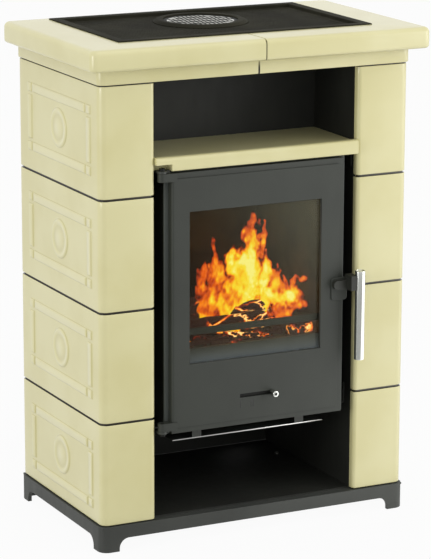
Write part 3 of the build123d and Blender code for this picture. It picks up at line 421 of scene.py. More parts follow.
def eased_copy(source: bpy.types.Object, name: str, width: float) -> bpy.types.Object:
    """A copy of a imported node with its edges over 40 degrees softened by a bevel.

    Args:
        source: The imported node.
        name: The new piece's name.
        width: Bevel width in millimetres.

    Returns:
        The new piece.
    """
    sharp = math.radians(40.0)
    mesh = source.data.copy()
    mesh.name = name
    work = bmesh.new()
    work.from_mesh(mesh)
    bmesh.ops.remove_doubles(work, verts=work.verts, dist=1e-6)
    bmesh.ops.dissolve_limit(
        work, angle_limit=math.radians(1.0), verts=work.verts, edges=work.edges, delimit=set()
    )
    bmesh.ops.recalc_face_normals(work, faces=work.faces)
    work.to_mesh(mesh)
    work.free()
    if "custom_normal" in mesh.attributes:
        mesh.attributes.remove(mesh.attributes["custom_normal"])
    piece = bpy.data.objects.new(name, mesh)
    bpy.context.scene.collection.objects.link(piece)
    mesh.shade_smooth()
    mesh.set_sharp_from_angle(angle=sharp)
    bevel = piece.modifiers.new("soft_edges", "BEVEL")
    bevel.width = width * MM
    bevel.segments = 2
    bevel.limit_method = "ANGLE"
    bevel.angle_limit = sharp
    return piece


# ---------------------------------------------------------------- materials
def sign(operation: str, swapped: bool = False) -> Callable[[Level, Level | float], Level]:
    """A sign between two values as one Math node; swapped puts the level itself second."""

    def method(self: Level, other: Level | float) -> Level:
        """The outcome of the sign."""
        first, second = (other, self) if swapped else (self, other)
        values = {0: first, 1: second}
        return self.paint.node("ShaderNodeMath", {"operation": operation}, values)

    return method


class Level:
    """A number on its way through a material, which the signs of a sum can work on."""

    def __init__(self, paint: Paint, socket: bpy.types.NodeSocket) -> None:
        """Wraps an output socket of a paint's node."""
        self.paint = paint
        self.socket = socket

    __add__, __radd__ = sign("ADD"), sign("ADD", swapped=True)
    __sub__, __rsub__ = sign("SUBTRACT"), sign("SUBTRACT", swapped=True)
    __mul__, __rmul__ = sign("MULTIPLY"), sign("MULTIPLY", swapped=True)
    most = sign("MAXIMUM")

    def within(self, low: float, high: float) -> Level:
        """A soft step from 0 at low to 1 at high."""
        settings = {"interpolation_type": "SMOOTHSTEP", "clamp": True}
        values = {"Value": self, 1: low, 2: high, 3: 0.0, 4: 1.0}
        return self.paint.node("ShaderNodeMapRange", settings, values)


class Paint:
    """One material, or the world, and the nodes in it."""

    def __init__(self, name: str, world: bpy.types.World | None = None) -> None:
        """Starts an empty material, or empties the world's nodes."""
        self.owner = world or bpy.data.materials.new(name)
        self.owner.use_nodes = True
        self.tree = self.owner.node_tree
        self.tree.nodes.clear()

    def node(
        self,
        kind: str,
        settings: dict[str, object] | None = None,
        values: dict[str | int, object] | None = None,
        output: int | str | None = 0,
    ) -> Level | None:
        """Adds a node.

        Args:
            kind: The node's type.
            settings: Properties of the node, and "stops" for the stops of a ramp.
            values: Values or links of its inputs, by name or number.
            output: Which output to return, or None for a node without outputs.

        Returns:
            That output.
        """
        made = self.tree.nodes.new(kind)
        for name, value in (settings or {}).items():
            if name == "stops":
                ramp = made.color_ramp
                while len(ramp.elements) > 1:
                    ramp.elements.remove(ramp.elements[-1])
                for number, (place, colour) in enumerate(value):
                    stop = ramp.elements[0] if number == 0 else ramp.elements.new(place)
                    stop.position = place
                    stop.color = (*colour, 1.0)
            else:
                setattr(made, name, value)
        for name, value in (values or {}).items():
            socket = made.inputs[name]
            if isinstance(value, Level):
                self.tree.links.new(value.socket, socket)
            elif socket.type == "RGBA" and len(value) == 3:
                socket.default_value = (*value, 1.0)
            else:
                socket.default_value = value
        return None if output is None else Level(self, made.outputs[output])

    def place(self) -> Level:
        """Where a point of the piece is, in metres."""
        return self.node("ShaderNodeTexCoord", output="Object")

    def stretched(self, scale: Place) -> Level:
        """The place, scaled by three numbers."""
        values = {"Vector": self.place(), "Scale": scale}
        return self.node("ShaderNodeMapping", {"vector_type": "POINT"}, values)

    def split(self) -> tuple[Level, ...]:
        """The three numbers of the place."""
        return self.parts(self.place())

    def outputs(self, level: Level, *names: int | str) -> tuple[Level, ...]:
        """Several outputs of the node that a level comes from."""
        return tuple(Level(self, level.socket.node.outputs[name]) for name in names)

    def parts(self, whole: Level) -> tuple[Level, ...]:
        """The three numbers of a place or a trace."""
        return self.outputs(self.node("ShaderNodeSeparateXYZ", None, {0: whole}), 0, 1, 2)

    def noise(
        self, scale: float, detail: float = 3.0, where: Level | None = None, rough: float = 0.5
    ) -> Level:
        """Cloudy noise from 0 to 1 at a number of cells for each metre."""
        where = where or self.place()
        values = {"Vector": where, "Scale": scale, "Detail": detail, "Roughness": rough}
        return self.node("ShaderNodeTexNoise", {"noise_dimensions": "3D"}, values)

    def trace(self) -> tuple[Level, ...]:
        """The three numbers that a piece keeps at its points."""
        kept = self.node("ShaderNodeAttribute", {"attribute_name": "trace"}, output="Vector")
        return self.parts(kept)

    def mix(self, share: Level | float, first: Level | Colour, second: Level | Colour) -> Level:
        """A colour between two, second where the share is 1."""
        settings = {"data_type": "RGBA", "clamp_factor": True}
        return self.node("ShaderNodeMix", settings, {0: share, 6: first, 7: second}, output=2)

    def ramp(self, value: Level, stops: Sequence[tuple[float, Colour]]) -> Level:
        """A colour from a row of stops."""
        return self.node("ShaderNodeValToRGB", {"stops": stops}, {"Fac": value})

    def bump(self, height: Level, depth: float, strength: float = 1.0) -> Level:
        """A normal from a height of 0 to 1 that stands for a depth in millimetres."""
        values = {"Height": height, "Distance": depth * MM, "Strength": strength}
        return self.node("ShaderNodeBump", None, values)

    def finish(self, **sockets: object) -> bpy.types.Material:
        """Closes the material with one Principled shader, made as shader makes it."""
        return self.close(self.shader(**sockets))

    def shader(self, **sockets: object) -> Level:
        """One Principled shader; its inputs are given with _ for a space in their names."""
        values = {name.replace("_", " "): value for name, value in sockets.items()}
        return self.node("ShaderNodeBsdfPrincipled", None, values)

    def rays(self) -> tuple[Level, ...]:
        """1 for a ray straight from the camera, in a reflection, and through something clear."""
        kinds = ("Is Camera Ray", "Is Glossy Ray", "Is Transmission Ray")
        return self.outputs(self.node("ShaderNodeLightPath"), *kinds)

    def blend(self, share: Level, first: Level, second: Level) -> Level:
        """A shader between two, second where the share is 1."""
        return self.node("ShaderNodeMixShader", None, {0: share, 1: first, 2: second})

    def close(self, shader: Level, ending: str = "ShaderNodeOutputMaterial") -> bpy.types.ID:
        """Links a shader to the surface of the material or the world."""
        self.node(ending, None, {"Surface": shader}, output=None)
        return self.owner


@dataclass(frozen=True)
class Glaze:
    """Cream glaze: glossy and a little uneven, darker at the foot of the relief and lighter where it
    stands up: partly glaze that pools and thins, partly painted shade and painted highlight.
    """

    body: Colour = paint_value(215, 209, 160)
    deep: Colour = paint_value(209, 202, 149)
    # The next two colours are partly thinned and pooled glaze, partly painted highlight on the
    # relief's top and painted shade at its foot.
    thin_and_highlight: Colour = paint_value(223, 218, 176)
    pool_and_shade: Colour = paint_value(178, 169, 112)
    joint: Colour = paint_value(34, 27, 6)
    rough: float = 0.3
    coat: float = 0.4
    coat_rough: float = 0.16
    peel: float = 0.16

    def material(self, name: str) -> bpy.types.Material:
        """Makes the glaze."""
        paint = Paint(name)
        rise, joint, _ = paint.trace()
        mottle = paint.noise(7.0, 3.0)
        tone = paint.mix(mottle.within(0.35, 0.68), self.body, self.deep)
        # Darker at the relief's foot and lighter on its top: partly glaze pooling and thinning,
        # partly painted shade and painted highlight.
        foot = rise.within(0.02, 0.5) * (1.0 - rise.within(0.9, 2.0))
        pooled_and_shaded = paint.mix(foot * 0.45, tone, self.pool_and_shade)
        lifted = paint.mix(rise.within(1.6, 2.8) * 0.5, pooled_and_shaded, self.thin_and_highlight)
        # The joint colour darkens the tile joints; beside the crown's seam it is painted shade.
        colour = paint.mix(joint.within(0.1, 0.7), lifted, self.joint)
        peel = paint.noise(130.0, 2.0) * 0.7 + paint.noise(30.0, 2.0) * 0.6
        return paint.finish(
            Base_Color=colour,
            Roughness=self.rough,
            Coat_Weight=self.coat,
            Coat_Roughness=self.coat_rough,
            Normal=paint.bump(peel, self.peel, 0.55),
        )


@dataclass(frozen=True)
class Coating:
    """Baked stove paint on steel: a fine grain, soft cloudiness and a dull sheen."""

    colour: Colour
    grain: float = 0.05
    rough: float = 0.5
    wear: float = 0.25
    sheen: float = 0.4

    def material(self, name: str) -> bpy.types.Material:
        """Makes the coating."""
        paint = Paint(name)
        mottle = paint.noise(9.0, 4.0)
        darker, lighter = (shade(self.colour, 1.0 + wear) for wear in (-self.wear, self.wear))
        colour = paint.mix(mottle.within(0.3, 0.7), darker, lighter)
        grit = paint.noise(1500.0, 2.0)
        scuff = paint.noise(60.0, 5.0, paint.stretched((1.0, 1.0, 0.25)))
        return paint.finish(
            Base_Color=colour,
            Roughness=self.rough + (scuff - 0.5) * 0.16,
            Normal=paint.bump(grit, self.grain, 0.6),
            Specular_IOR_Level=self.sheen,
        )


@dataclass(frozen=True)
class Steel:
    """Bare steel, brushed along one direction."""

    colour: Colour = paint_value(205, 205, 202)
    rough: float = 0.31
    lay: Place = (1.0, 1.0, 0.02)

    def material(self, name: str) -> bpy.types.Material:
        """Makes the steel."""
        paint = Paint(name)
        brush = paint.noise(1800.0, 3.0, paint.stretched(self.lay))
        mottle = paint.noise(25.0, 3.0)
        share = brush.within(0.3, 0.7) * 0.6 + mottle * 0.4
        colour = paint.mix(share, shade(self.colour, 0.82), self.colour)
        return paint.finish(
            Base_Color=colour,
            Metallic=1.0,
            Roughness=self.rough + (brush - 0.5) * 0.05,
            Normal=paint.bump(brush, 0.02, 0.5),
        )


@dataclass(frozen=True)
class Brick:
    """Pressed fire brick, browned by the fire and sooty in patches."""

    body: Colour = paint_value(78, 68, 42)
    soot: Colour = paint_value(34, 29, 18)

    def material(self, name: str) -> bpy.types.Material:
        """Makes the brick."""
        paint = Paint(name)
        values = {"Vector": paint.place(), "Scale": 160.0}
        flake = paint.node("ShaderNodeTexVoronoi", {"feature": "F1"}, values)
        stain = paint.noise(11.0, 5.0)
        body = paint.mix(flake.within(0.1, 0.7), shade(self.body, 1.1), self.body)
        colour = paint.mix(stain.within(0.36, 0.66), body, self.soot)
        return paint.finish(
            Base_Color=colour,
            Roughness=0.9,
            Normal=paint.bump(flake + paint.noise(90.0, 2.0), 0.2, 0.2),
        )


@dataclass(frozen=True)
class Iron:
    """Rough cast iron with a bloom of ash."""

    colour: Colour = paint_value(58, 56, 52)
    ash: Colour = paint_value(128, 122, 112)

    def material(self, name: str) -> bpy.types.Material:
        """Makes the iron."""
        paint = Paint(name)
        bloom = paint.noise(40.0, 5.0).within(0.5, 0.75)
        colour = paint.mix(bloom * 0.6, self.colour, self.ash)
        return paint.finish(
            Base_Color=colour,
            Metallic=0.4,
            Roughness=0.7,
            Normal=paint.bump(paint.noise(500.0, 4.0), 0.3, 0.7),
        )


@dataclass(frozen=True)
class Rope:
    """Grey glass-fibre rope, braided on the slant."""

    colour: Colour = paint_value(92, 90, 84)

    def material(self, name: str) -> bpy.types.Material:
        """Makes the rope."""
        paint = Paint(name)
        settings = {"wave_type": "BANDS", "bands_direction": "DIAGONAL"}
        values = {"Vector": paint.place(), "Scale": 120.0, "Distortion": 1.5, "Detail": 2.0}
        braid = paint.node("ShaderNodeTexWave", settings, values, output="Fac")
        colour = paint.mix(braid, shade(self.colour, 0.5), self.colour)
        return paint.finish(Base_Color=colour, Roughness=0.95, Normal=paint.bump(braid, 0.5, 0.8))


@dataclass(frozen=True)
class Glass:
    """Fire glass: clear, with a faint mirror image, and a pale film that is a painted reflection at
    its foot and its upper right.
    """

    tint: Colour = paint_value(250, 249, 243)
    # The two film colours are painted reflection: the first at the upper right, the second along the
    # foot.
    upper_reflection: Colour = paint_value(150, 147, 120)
    foot_reflection: Colour = paint_value(158, 170, 176)
    mirror: Colour = paint_value(120, 120, 112)
    reflection_share: float = 0.18
    least: float = 0.006
    foot_top: float = 0.405

    def material(self, name: str) -> bpy.types.Material:
        """Makes the glass. The share of the painted reflection at the upper right is the square of a
        soft step of 1.67 x + 1.59 z - 0.3.
        """
        paint = Paint(name)
        clear = paint.node("ShaderNodeBsdfTransparent", None, {"Color": self.tint})
        across, _, up = paint.split()
        slope = (1.67 * across + 1.59 * up - 0.3).within(0.35, 1.05)
        mottle = paint.noise(9.0, 1.0)
        foot = (self.foot_top - up).within(0.0, 0.05)
        # How much pale film lies over the clear glass: a painted reflection, strongest at the upper
        # right and along the foot.
        share = slope * slope * self.reflection_share * (0.8 + mottle * 0.4) + foot * self.reflection_share + self.least
        colour = paint.mix(foot, self.upper_reflection, self.foot_reflection)
        reflection_film = paint.shader(Base_Color=colour, Roughness=1.0, Specular_IOR_Level=0.0)
        image = paint.shader(Base_Color=self.mirror, Metallic=1.0, Roughness=0.08)
        fresnel = paint.node("ShaderNodeFresnel", None, {"IOR": 1.5})
        return paint.close(paint.blend(fresnel, paint.blend(share, clear, reflection_film), image))


@dataclass(frozen=True)
class Ember:
    """Charred wood with cracks that glow, more of them where the piece is hotter."""

    char: Colour = paint_value(30, 20, 13)
    ash: Colour = paint_value(58, 44, 32)
    stops: tuple[tuple[float, Colour], ...] = (
        (0.0, paint_value(36, 18, 13)),
        (0.25, paint_value(120, 30, 10)),
        (0.55, paint_value(242, 104, 22)),
        (0.8, paint_value(255, 190, 70)),
        (1.0, paint_value(255, 240, 170)),
    )

    def material(self, name: str) -> bpy.types.Material:
        """Makes the charred wood. The trace holds the heat of each piece."""
        paint = Paint(name)
        heat, _, _ = paint.trace()
        wobble = paint.noise(60.0, 3.0)
        shift = paint.node("ShaderNodeCombineXYZ", None, {0: wobble, 1: wobble, 2: wobble})
        values = {0: shift, 1: (0.03, 0.03, 0.03), 2: paint.stretched((0.4, 1.0, 1.1))}
        warped = paint.node("ShaderNodeVectorMath", {"operation": "MULTIPLY_ADD"}, values)
        edges, values = {"feature": "DISTANCE_TO_EDGE"}, {"Vector": warped, "Scale": 42.0}
        crack = paint.node("ShaderNodeTexVoronoi", edges, values)
        line = 1.0 - crack.within(0.0, 0.13)
        patch = (paint.noise(30.0, 3.0) + heat * 0.42).within(0.62, 0.92)
        base = paint.mix(paint.noise(120.0, 4.0).within(0.5, 0.8) * 0.5, self.char, self.ash)
        return paint.finish(
            Base_Color=base,
            Roughness=0.9,
            Emission_Color=paint.ramp(line * patch, self.stops),
            Emission_Strength=1.3,
            Normal=paint.bump(crack, 2.0, 0.9),
        )


@dataclass(frozen=True)
class Flame:
    """Flame: clear and dark red at its ragged edges, then orange, and yellow at its heart."""

    stops: tuple[tuple[float, Colour], ...] = (
        (0.0, paint_value(56, 18, 6)),
        (0.10, paint_value(98, 30, 8)),
        (0.24, paint_value(180, 58, 14)),
        (0.38, paint_value(228, 94, 14)),
        (0.52, paint_value(248, 138, 14)),
        (0.66, paint_value(254, 188, 18)),
        (0.80, paint_value(255, 222, 40)),
        (0.93, paint_value(255, 237, 84)),
        (1.0, paint_value(255, 246, 132)),
    )

    def material(self, name: str) -> bpy.types.Material:
        """Makes the flame. The trace holds how solid and how bright the flame is."""
        paint = Paint(name)
        solid, bright, _ = paint.trace()
        lick = paint.noise(300.0, 3.0, paint.stretched((1.0, 1.0, 0.4)), 0.6) - 0.5
        return paint.finish(
            Base_Color=(0.0, 0.0, 0.0),
            Roughness=1.0,
            Specular_IOR_Level=0.0,
            Emission_Color=paint.ramp(bright + lick * 0.25, self.stops),
            Emission_Strength=1.12,
            Alpha=(solid + lick * 0.25).within(0.0, 0.4),
        )


class Finish(Enum):
    """The stove's finishes, by the names of the record's material slots."""

    CREAM = "cream_glaze"
    PLINTH = "plinth_paint"
    BLACK_SHEET = "black_sheet"
    BLACK_STEEL = "black_steel"
    GREY_STEEL = "grey_steel"
    DOOR = "door_paint"
    SATIN = "satin_steel"
    CHROME = "chrome"
    SCREW = "dark_screw"
    MESH = "perforated_steel"
    BRICK = "firebrick"
    IRON = "cast_iron"
    GLASS = "fire_glass"
    ROPE = "seal_rope"
    WOOD = "split_wood"
    PLATE = "plate_paint"
    SLIDE = "slide_steel"
    # A lighter copy of grey steel: painted light on the parts that catch it.
    GREY_STEEL_LIT = "hearth_paint"
    # Pale paint for bright slot walls: partly bare cut metal, partly painted highlight.
    EDGE_GLINT = "edge_glint"

    @property
    def slot(self) -> str:
        """The record's slot that the finish belongs to."""
        own = {
            "plate_paint": "black_steel",
            "slide_steel": "satin_steel",
            "edge_glint": "perforated_steel",
            "hearth_paint": "grey_steel",
        }
        return own.get(self.value, self.value)


class Paints:
    """Makes each finish once and lays it on pieces."""

    def __init__(self) -> None:
        """Lists the recipes."""
        self.recipes: dict[Finish, object] = {
            Finish.CREAM: Glaze(),
            Finish.PLINTH: Coating(paint_value(58, 60, 56), rough=0.55, wear=0.1),
            Finish.BLACK_SHEET: Coating(paint_value(28, 29, 24), rough=0.62),
            Finish.BLACK_STEEL: Coating(paint_value(40, 41, 35), rough=0.5),
            Finish.GREY_STEEL: Coating(paint_value(56, 58, 53), rough=0.5, wear=0.1),
            # Lighter grey steel for the front frame and log guard: painted light.
            Finish.GREY_STEEL_LIT: Coating(paint_value(76, 80, 76), rough=0.5, wear=0.1),
            Finish.DOOR: Coating(paint_value(48, 51, 45), rough=0.5, wear=0.08),
            Finish.SATIN: Steel(),
            Finish.CHROME: Steel(paint_value(226, 228, 222), rough=0.18),
            Finish.SCREW: Coating(paint_value(40, 40, 38), rough=0.4),
            Finish.MESH: Coating(paint_value(30, 30, 27), rough=0.6, sheen=0.15),
            Finish.PLATE: Coating(paint_value(44, 43, 34), rough=0.75, sheen=0.06),
            Finish.SLIDE: Coating(paint_value(20, 21, 17), rough=0.5, sheen=0.2),
            Finish.EDGE_GLINT: Coating(paint_value(214, 214, 208), rough=0.5, wear=0.04),
            Finish.BRICK: Brick(),
            Finish.IRON: Iron(),
            Finish.GLASS: Glass(),
            Finish.ROPE: Rope(),
            Finish.WOOD: Ember(),
        }
        self.made: dict[Finish, bpy.types.Material] = {}

    def get(self, finish: Finish) -> bpy.types.Material:
        """The material of a finish."""
        if finish not in self.made:
            self.made[finish] = self.recipes[finish].material(finish.value)
        return self.made[finish]

    def lay(self, piece: bpy.types.Object, finish: Finish, slot: bool = True) -> None:
        """Puts a finish on a piece."""
        material = self.get(finish)
        if piece.material_slots:
            for place in piece.material_slots:
                place.material = material
        else:
            piece.data.materials.append(material)
        if slot:
            finish.slot


# ---------------------------------------------------------------- sub-assemblies
@dataclass
class Part:
    """A sub-assembly that makes its pieces with the shared paints."""

    paints: Paints

    def done(
        self,
        piece: bpy.types.Object,
        finish: Finish,
        body: str = "stove",
        stands_for: Sequence[str] = (),
        second: Finish | None = None,
    ) -> None:
        """Paints a new piece in one or two finishes, sets it on its body and logs it."""
        self.paints.lay(piece, finish)
        if second is not None:
            piece.data.materials.append(self.paints.get(second))
        if stands_for:
            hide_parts(*stands_for)
        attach(piece, body)
        LOG.info("%s: %d faces", piece.name, len(piece.data.polygons))


@dataclass
class TileColumns(Part):
    """The eight glazed tiles, four on each side, each with a framed roundel on its side face."""

    half_opening: float = 220.0
    half_block: float = 334.0
    depth: float = 398.0
    wall: float = 15.0
    back_leg: float = 60.0
    inner_round: float = 8.0
    back_round: float = 14.0
    plain_end: float = 6.0
    joints: tuple[float, ...] = (52.0, 258.0, 478.0, 698.0, 918.0)
    joint_half: float = 1.9
    joint_depth: float = 4.0
    edge: float = 1.8
    frame_depth: Span = (42.0, 345.0)
    frame_below: Span = (179.0, 41.0)
    bar: float = 20.0
    gap: float = 4.0
    rise: float = 2.9
    shoulder: float = 3.6
    roundel: Place = (193.5, 110.0, 40.0)
    roundel_rim: Span = (4.5, 6.0)
    roundel_dish: float = 9.0
    roundel_boss: float = 24.0
    front_round: float = 16.0

    def lines(self, top: float) -> tuple[np.ndarray, np.ndarray]:
        """The depths and heights at which the relief has an edge, under a tile's upper joint."""
        step = self.bar + self.gap
        d0, d1 = self.frame_depth
        z0, z1 = top - self.frame_below[0], top - self.frame_below[1]
        depths = np.array([d0, d0 + self.bar, d0 + step, d1 - step, d1 - self.bar, d1])
        heights = np.array([z0, z0 + self.bar, z0 + step, z1 - step, z1 - self.bar, z1])
        return depths, heights

    def relief(self, top: float) -> Callable[[np.ndarray, np.ndarray, np.ndarray], np.ndarray]:
        """The height of the relief over the side face, as a function of x, depth and height.

        The frame is a table of three by three spans without the middle one. Each bar and block is
        the soft step of the distance to its own edge. The roundel is a dish inside a rim: a soft
        step down from the rim, and one back up towards its centre.
        """
        depths, heights = self.lines(top)
        spans = [(d, z) for d in depths.reshape(3, 2) for z in heights.reshape(3, 2)]
        bars = [(*d, *z) for number, (d, z) in enumerate(spans) if number != 4]

        def rise(x: np.ndarray, depth: np.ndarray, height: np.ndarray) -> np.ndarray:
            """The relief at each point."""
            total = np.zeros_like(depth)
            for low_d, high_d, low_z, high_z in bars:
                side = np.minimum(depth - low_d, high_d - depth)
                end = np.minimum(height - low_z, high_z - height)
                total = np.maximum(total, ease(np.minimum(side, end), 0.0, self.shoulder))
            reach = np.hypot(depth - self.roundel[0], height - (top - self.roundel[1]))
            radius, boss = self.roundel[2], self.roundel_boss
            rim = ease(radius - reach, 0.0, self.roundel_rim[0])
            dish = ease(radius - self.roundel_rim[1] - reach, 0.0, self.roundel_dish) * 0.5
            middle = ease(boss - reach, 0.0, boss) * 0.5
            total = np.maximum(total, rim * (1.0 - dish + middle))
            return np.where(np.abs(x - self.half_block) < 1e-6, self.rise * total, 0.0)

        return rise

    def knots(self, marks: np.ndarray, centre: float, low: float, high: float) -> np.ndarray:
        """Places along a side: close together at the relief's edges and over the roundel."""
        near = (marks[:, None] + np.linspace(-self.shoulder, self.shoulder, 9)).ravel()
        disc_half, disc_step, wide_step = self.roundel[2] + 2.0, 2.0, 14.0
        disc = centre + np.arange(-disc_half, disc_half + 0.1, disc_step)
        wide = np.arange(low, high, wide_step)
        every = np.unique(np.round(np.concatenate([near, disc, wide]), 2))
        return every[(every > low) & (every < high)]

    def tile(self, side: str, row: int) -> bpy.types.Object:
        """Builds one tile.

        Args:
            side: "left" or "right".
            row: 1 for the lowest.

        Returns:
            The tile.
        """
        low, high = self.joints[row - 1], self.joints[row]
        depths, heights = self.lines(high)
        ends = self.front_round + 2.0, self.depth - self.front_round
        along = self.knots(depths, self.roundel[0], *ends)
        ends = low + self.plain_end, high - self.plain_end
        up = self.knots(heights, high - self.roundel[1], *ends)
        foot, top = low + self.joint_half, high - self.joint_half
        body = rounded(foot, top, self.edge, self.edge, 5)
        middle = np.stack([up, np.zeros_like(up)], 1)
        half = len(body) // 2
        under, over = ([[z, self.joint_depth] for z in pair] for pair in ((low, foot), (top, high)))
        profile = np.concatenate([under, body[:half], middle, body[half:], over])
        back = self.half_block - self.back_leg
        wall = Wall(
            corners=[
                (self.half_opening, self.wall, 0),
                (self.half_opening, 0, self.inner_round),
                (self.half_block, 0, self.front_round),
                (self.half_block, self.depth, self.back_round),
                (back, self.depth, 0),
                (back, self.depth - self.wall, 0),
            ],
            inner_x=(self.half_opening + self.joint_depth, self.half_block - self.wall),
            inner_depth=(self.wall, self.depth - self.wall),
            profile=profile,
            knots={2: along},
            mirror=side == "left",
            bump=self.relief(high),
            joint_from=1.0,
        )
        shell = Shell()
        wall.add_to(shell)
        return shell.build(f"glazed_tile_{side}_{row}", crease=50.0)

    def build(self) -> None:
        """Builds both columns."""
        for side in SIDES:
            for row in range(1, len(self.joints)):
                self.done(self.tile(side, row), Finish.CREAM, stands_for=[f"tile_{side}_{row}"])


@dataclass
class Crown(Part):
    """The two halves of the crown: a thick overhanging slab on a narrower band."""

    seam: float = 0.8
    reach: float = 364.0
    slab_depth: Span = (-34.0, 403.0)
    slab: Span = (948.0, 990.0)
    corner: float = 14.0
    top_round: float = 11.0
    foot_round: float = 7.0
    band_reach: float = 336.5
    band_depth: Span = (-2.5, 400.5)
    band: Span = (918.0, 949.0)
    band_wall: float = 20.0
    band_corner: float = 16.0
    hole_half: float = 262.5
    hole_depth: Span = (56.0, 368.0)
    band_foot_round: float = 2.6
    band_top_round: float = 0.4
    slab_eased: float = 0.14
    band_eased: float = 0.3
    slab_shadow: Span = (2.2, 0.42)
    band_shadow: Span = (2.0, 1.0)
    band_joint: float = 0.9

    def level(
        self, reach: float, corner: float, outer: Span, inner: Span, shadow: Span, **sizes: object
    ) -> Wall:
        """One level of a half: a wall from its seam at the front round to its seam at the back.

        Args:
            reach: Its half width.
            corner: The radius of its corners.
            outer: The depths of its front and back.
            inner: The depths of its inner wall.
            shadow: How far from the seam it is darker, and how much.
            sizes: The other sizes of the wall.

        Returns:
            The wall.
        """
        seam, (d0, d1), (h0, h1) = self.seam, outer, inner
        front = [(seam, h0, 0), (seam, d0, 0), (reach, d0, corner)]
        back = [(reach, d1, corner), (seam, d1, 0), (seam, h1, 0)]
        near = np.array([seam + shadow[0]])
        sizes.update(knots={1: near, 3: near}, seam_x=seam, seam_share=shadow[1])
        return Wall(front + back, inner_depth=inner, **sizes)

    def half(self, side: str) -> bpy.types.Object:
        """Builds one half of the crown, with its seam edges eased to about 1.5 mm."""
        shell = Shell()
        eased, wall, (front, back) = self.slab_eased, self.band_wall, self.band_depth
        self.level(
            self.reach,
            self.corner,
            self.slab_depth,
            self.hole_depth,
            self.slab_shadow,
            inner_x=(self.seam + eased * self.top_round, self.hole_half),
            profile=rounded(*self.slab, self.foot_round, self.top_round, 8),
            weights=(eased, 1, 1, 1, eased),
            mirror=side == "left",
        ).add_to(shell)
        eased = self.band_eased
        self.level(
            self.band_reach,
            self.band_corner,
            self.band_depth,
            (front + wall, back - wall),
            self.band_shadow,
            inner_x=(self.seam + 0.5, self.band_reach - wall),
            profile=rounded(*self.band, self.band_foot_round, self.band_top_round, 5),
            weights=(eased, 1, 1, 1, eased),
            mirror=side == "left",
            joint_from=self.band_joint,
        ).add_to(shell)
        return shell.build(f"crown_half_{side}", crease=50.0)

    def build(self) -> None:
        """Builds both halves."""
        for side in SIDES:
            self.done(self.half(side), Finish.CREAM, stands_for=[f"crown_{side}"])


@dataclass
class Lattice:
    """A perforated sheet: oblong cells, each with a round-ended hole, between two levels."""

    pitch: Plan
    hole: Plan
    levels: Span
    steps: int = 8

    def cells(self, centres: np.ndarray) -> Shell:
        """Builds the cells.

        A cell has as many points on its rim as on its hole, on both faces, and three rings of
        faces: the upper face, the hole's wall (in the second finish) and the lower face. With half
        width r and half length l, a hole's points are (r cos a, r sin a) moved back or forth by
        l - r.

        Args:
            centres: (x, depth) of each cell, n by 2.

        Returns:
            The shell that holds them.
        """
        n = self.steps
        turn = np.arange(n) * FULL / n
        rim = np.stack([np.cos(turn), np.sin(turn)], 1)
        rim = rim / np.abs(rim).max(axis=1, keepdims=True) * np.array(self.pitch) / 2
        half, long = self.hole
        end = np.where(np.abs(np.sin(turn)) < 1e-6, 0.0, np.sign(np.sin(turn))) * (long - half)
        hole = np.stack([half * np.cos(turn), half * np.sin(turn) + end], 1)
        flat = np.concatenate([rim, hole])
        low, high = self.levels
        both = np.concatenate([np.column_stack([flat, np.full(2 * n, z)]) for z in (high, low)])
        rings = np.array([0, n, 3 * n, 2 * n])[:, None]
        here, after = rings + np.arange(n), rings + (np.arange(n) + 1) % n
        quads = np.stack([here[:-1], after[:-1], after[1:], here[1:]], -1).reshape(-1, 4)
        spread = np.zeros((len(centres), 1, 3))
        spread[:, 0, :2] = centres
        places = (both[None] + spread).reshape(-1, 3)
        faces = (quads[None] + 4 * n * np.arange(len(centres))[:, None, None]).reshape(-1, 4)
        shell = Shell()
        shell.faces(places, faces, np.tile(np.repeat([0, 1, 0], n), len(centres)))
        return shell


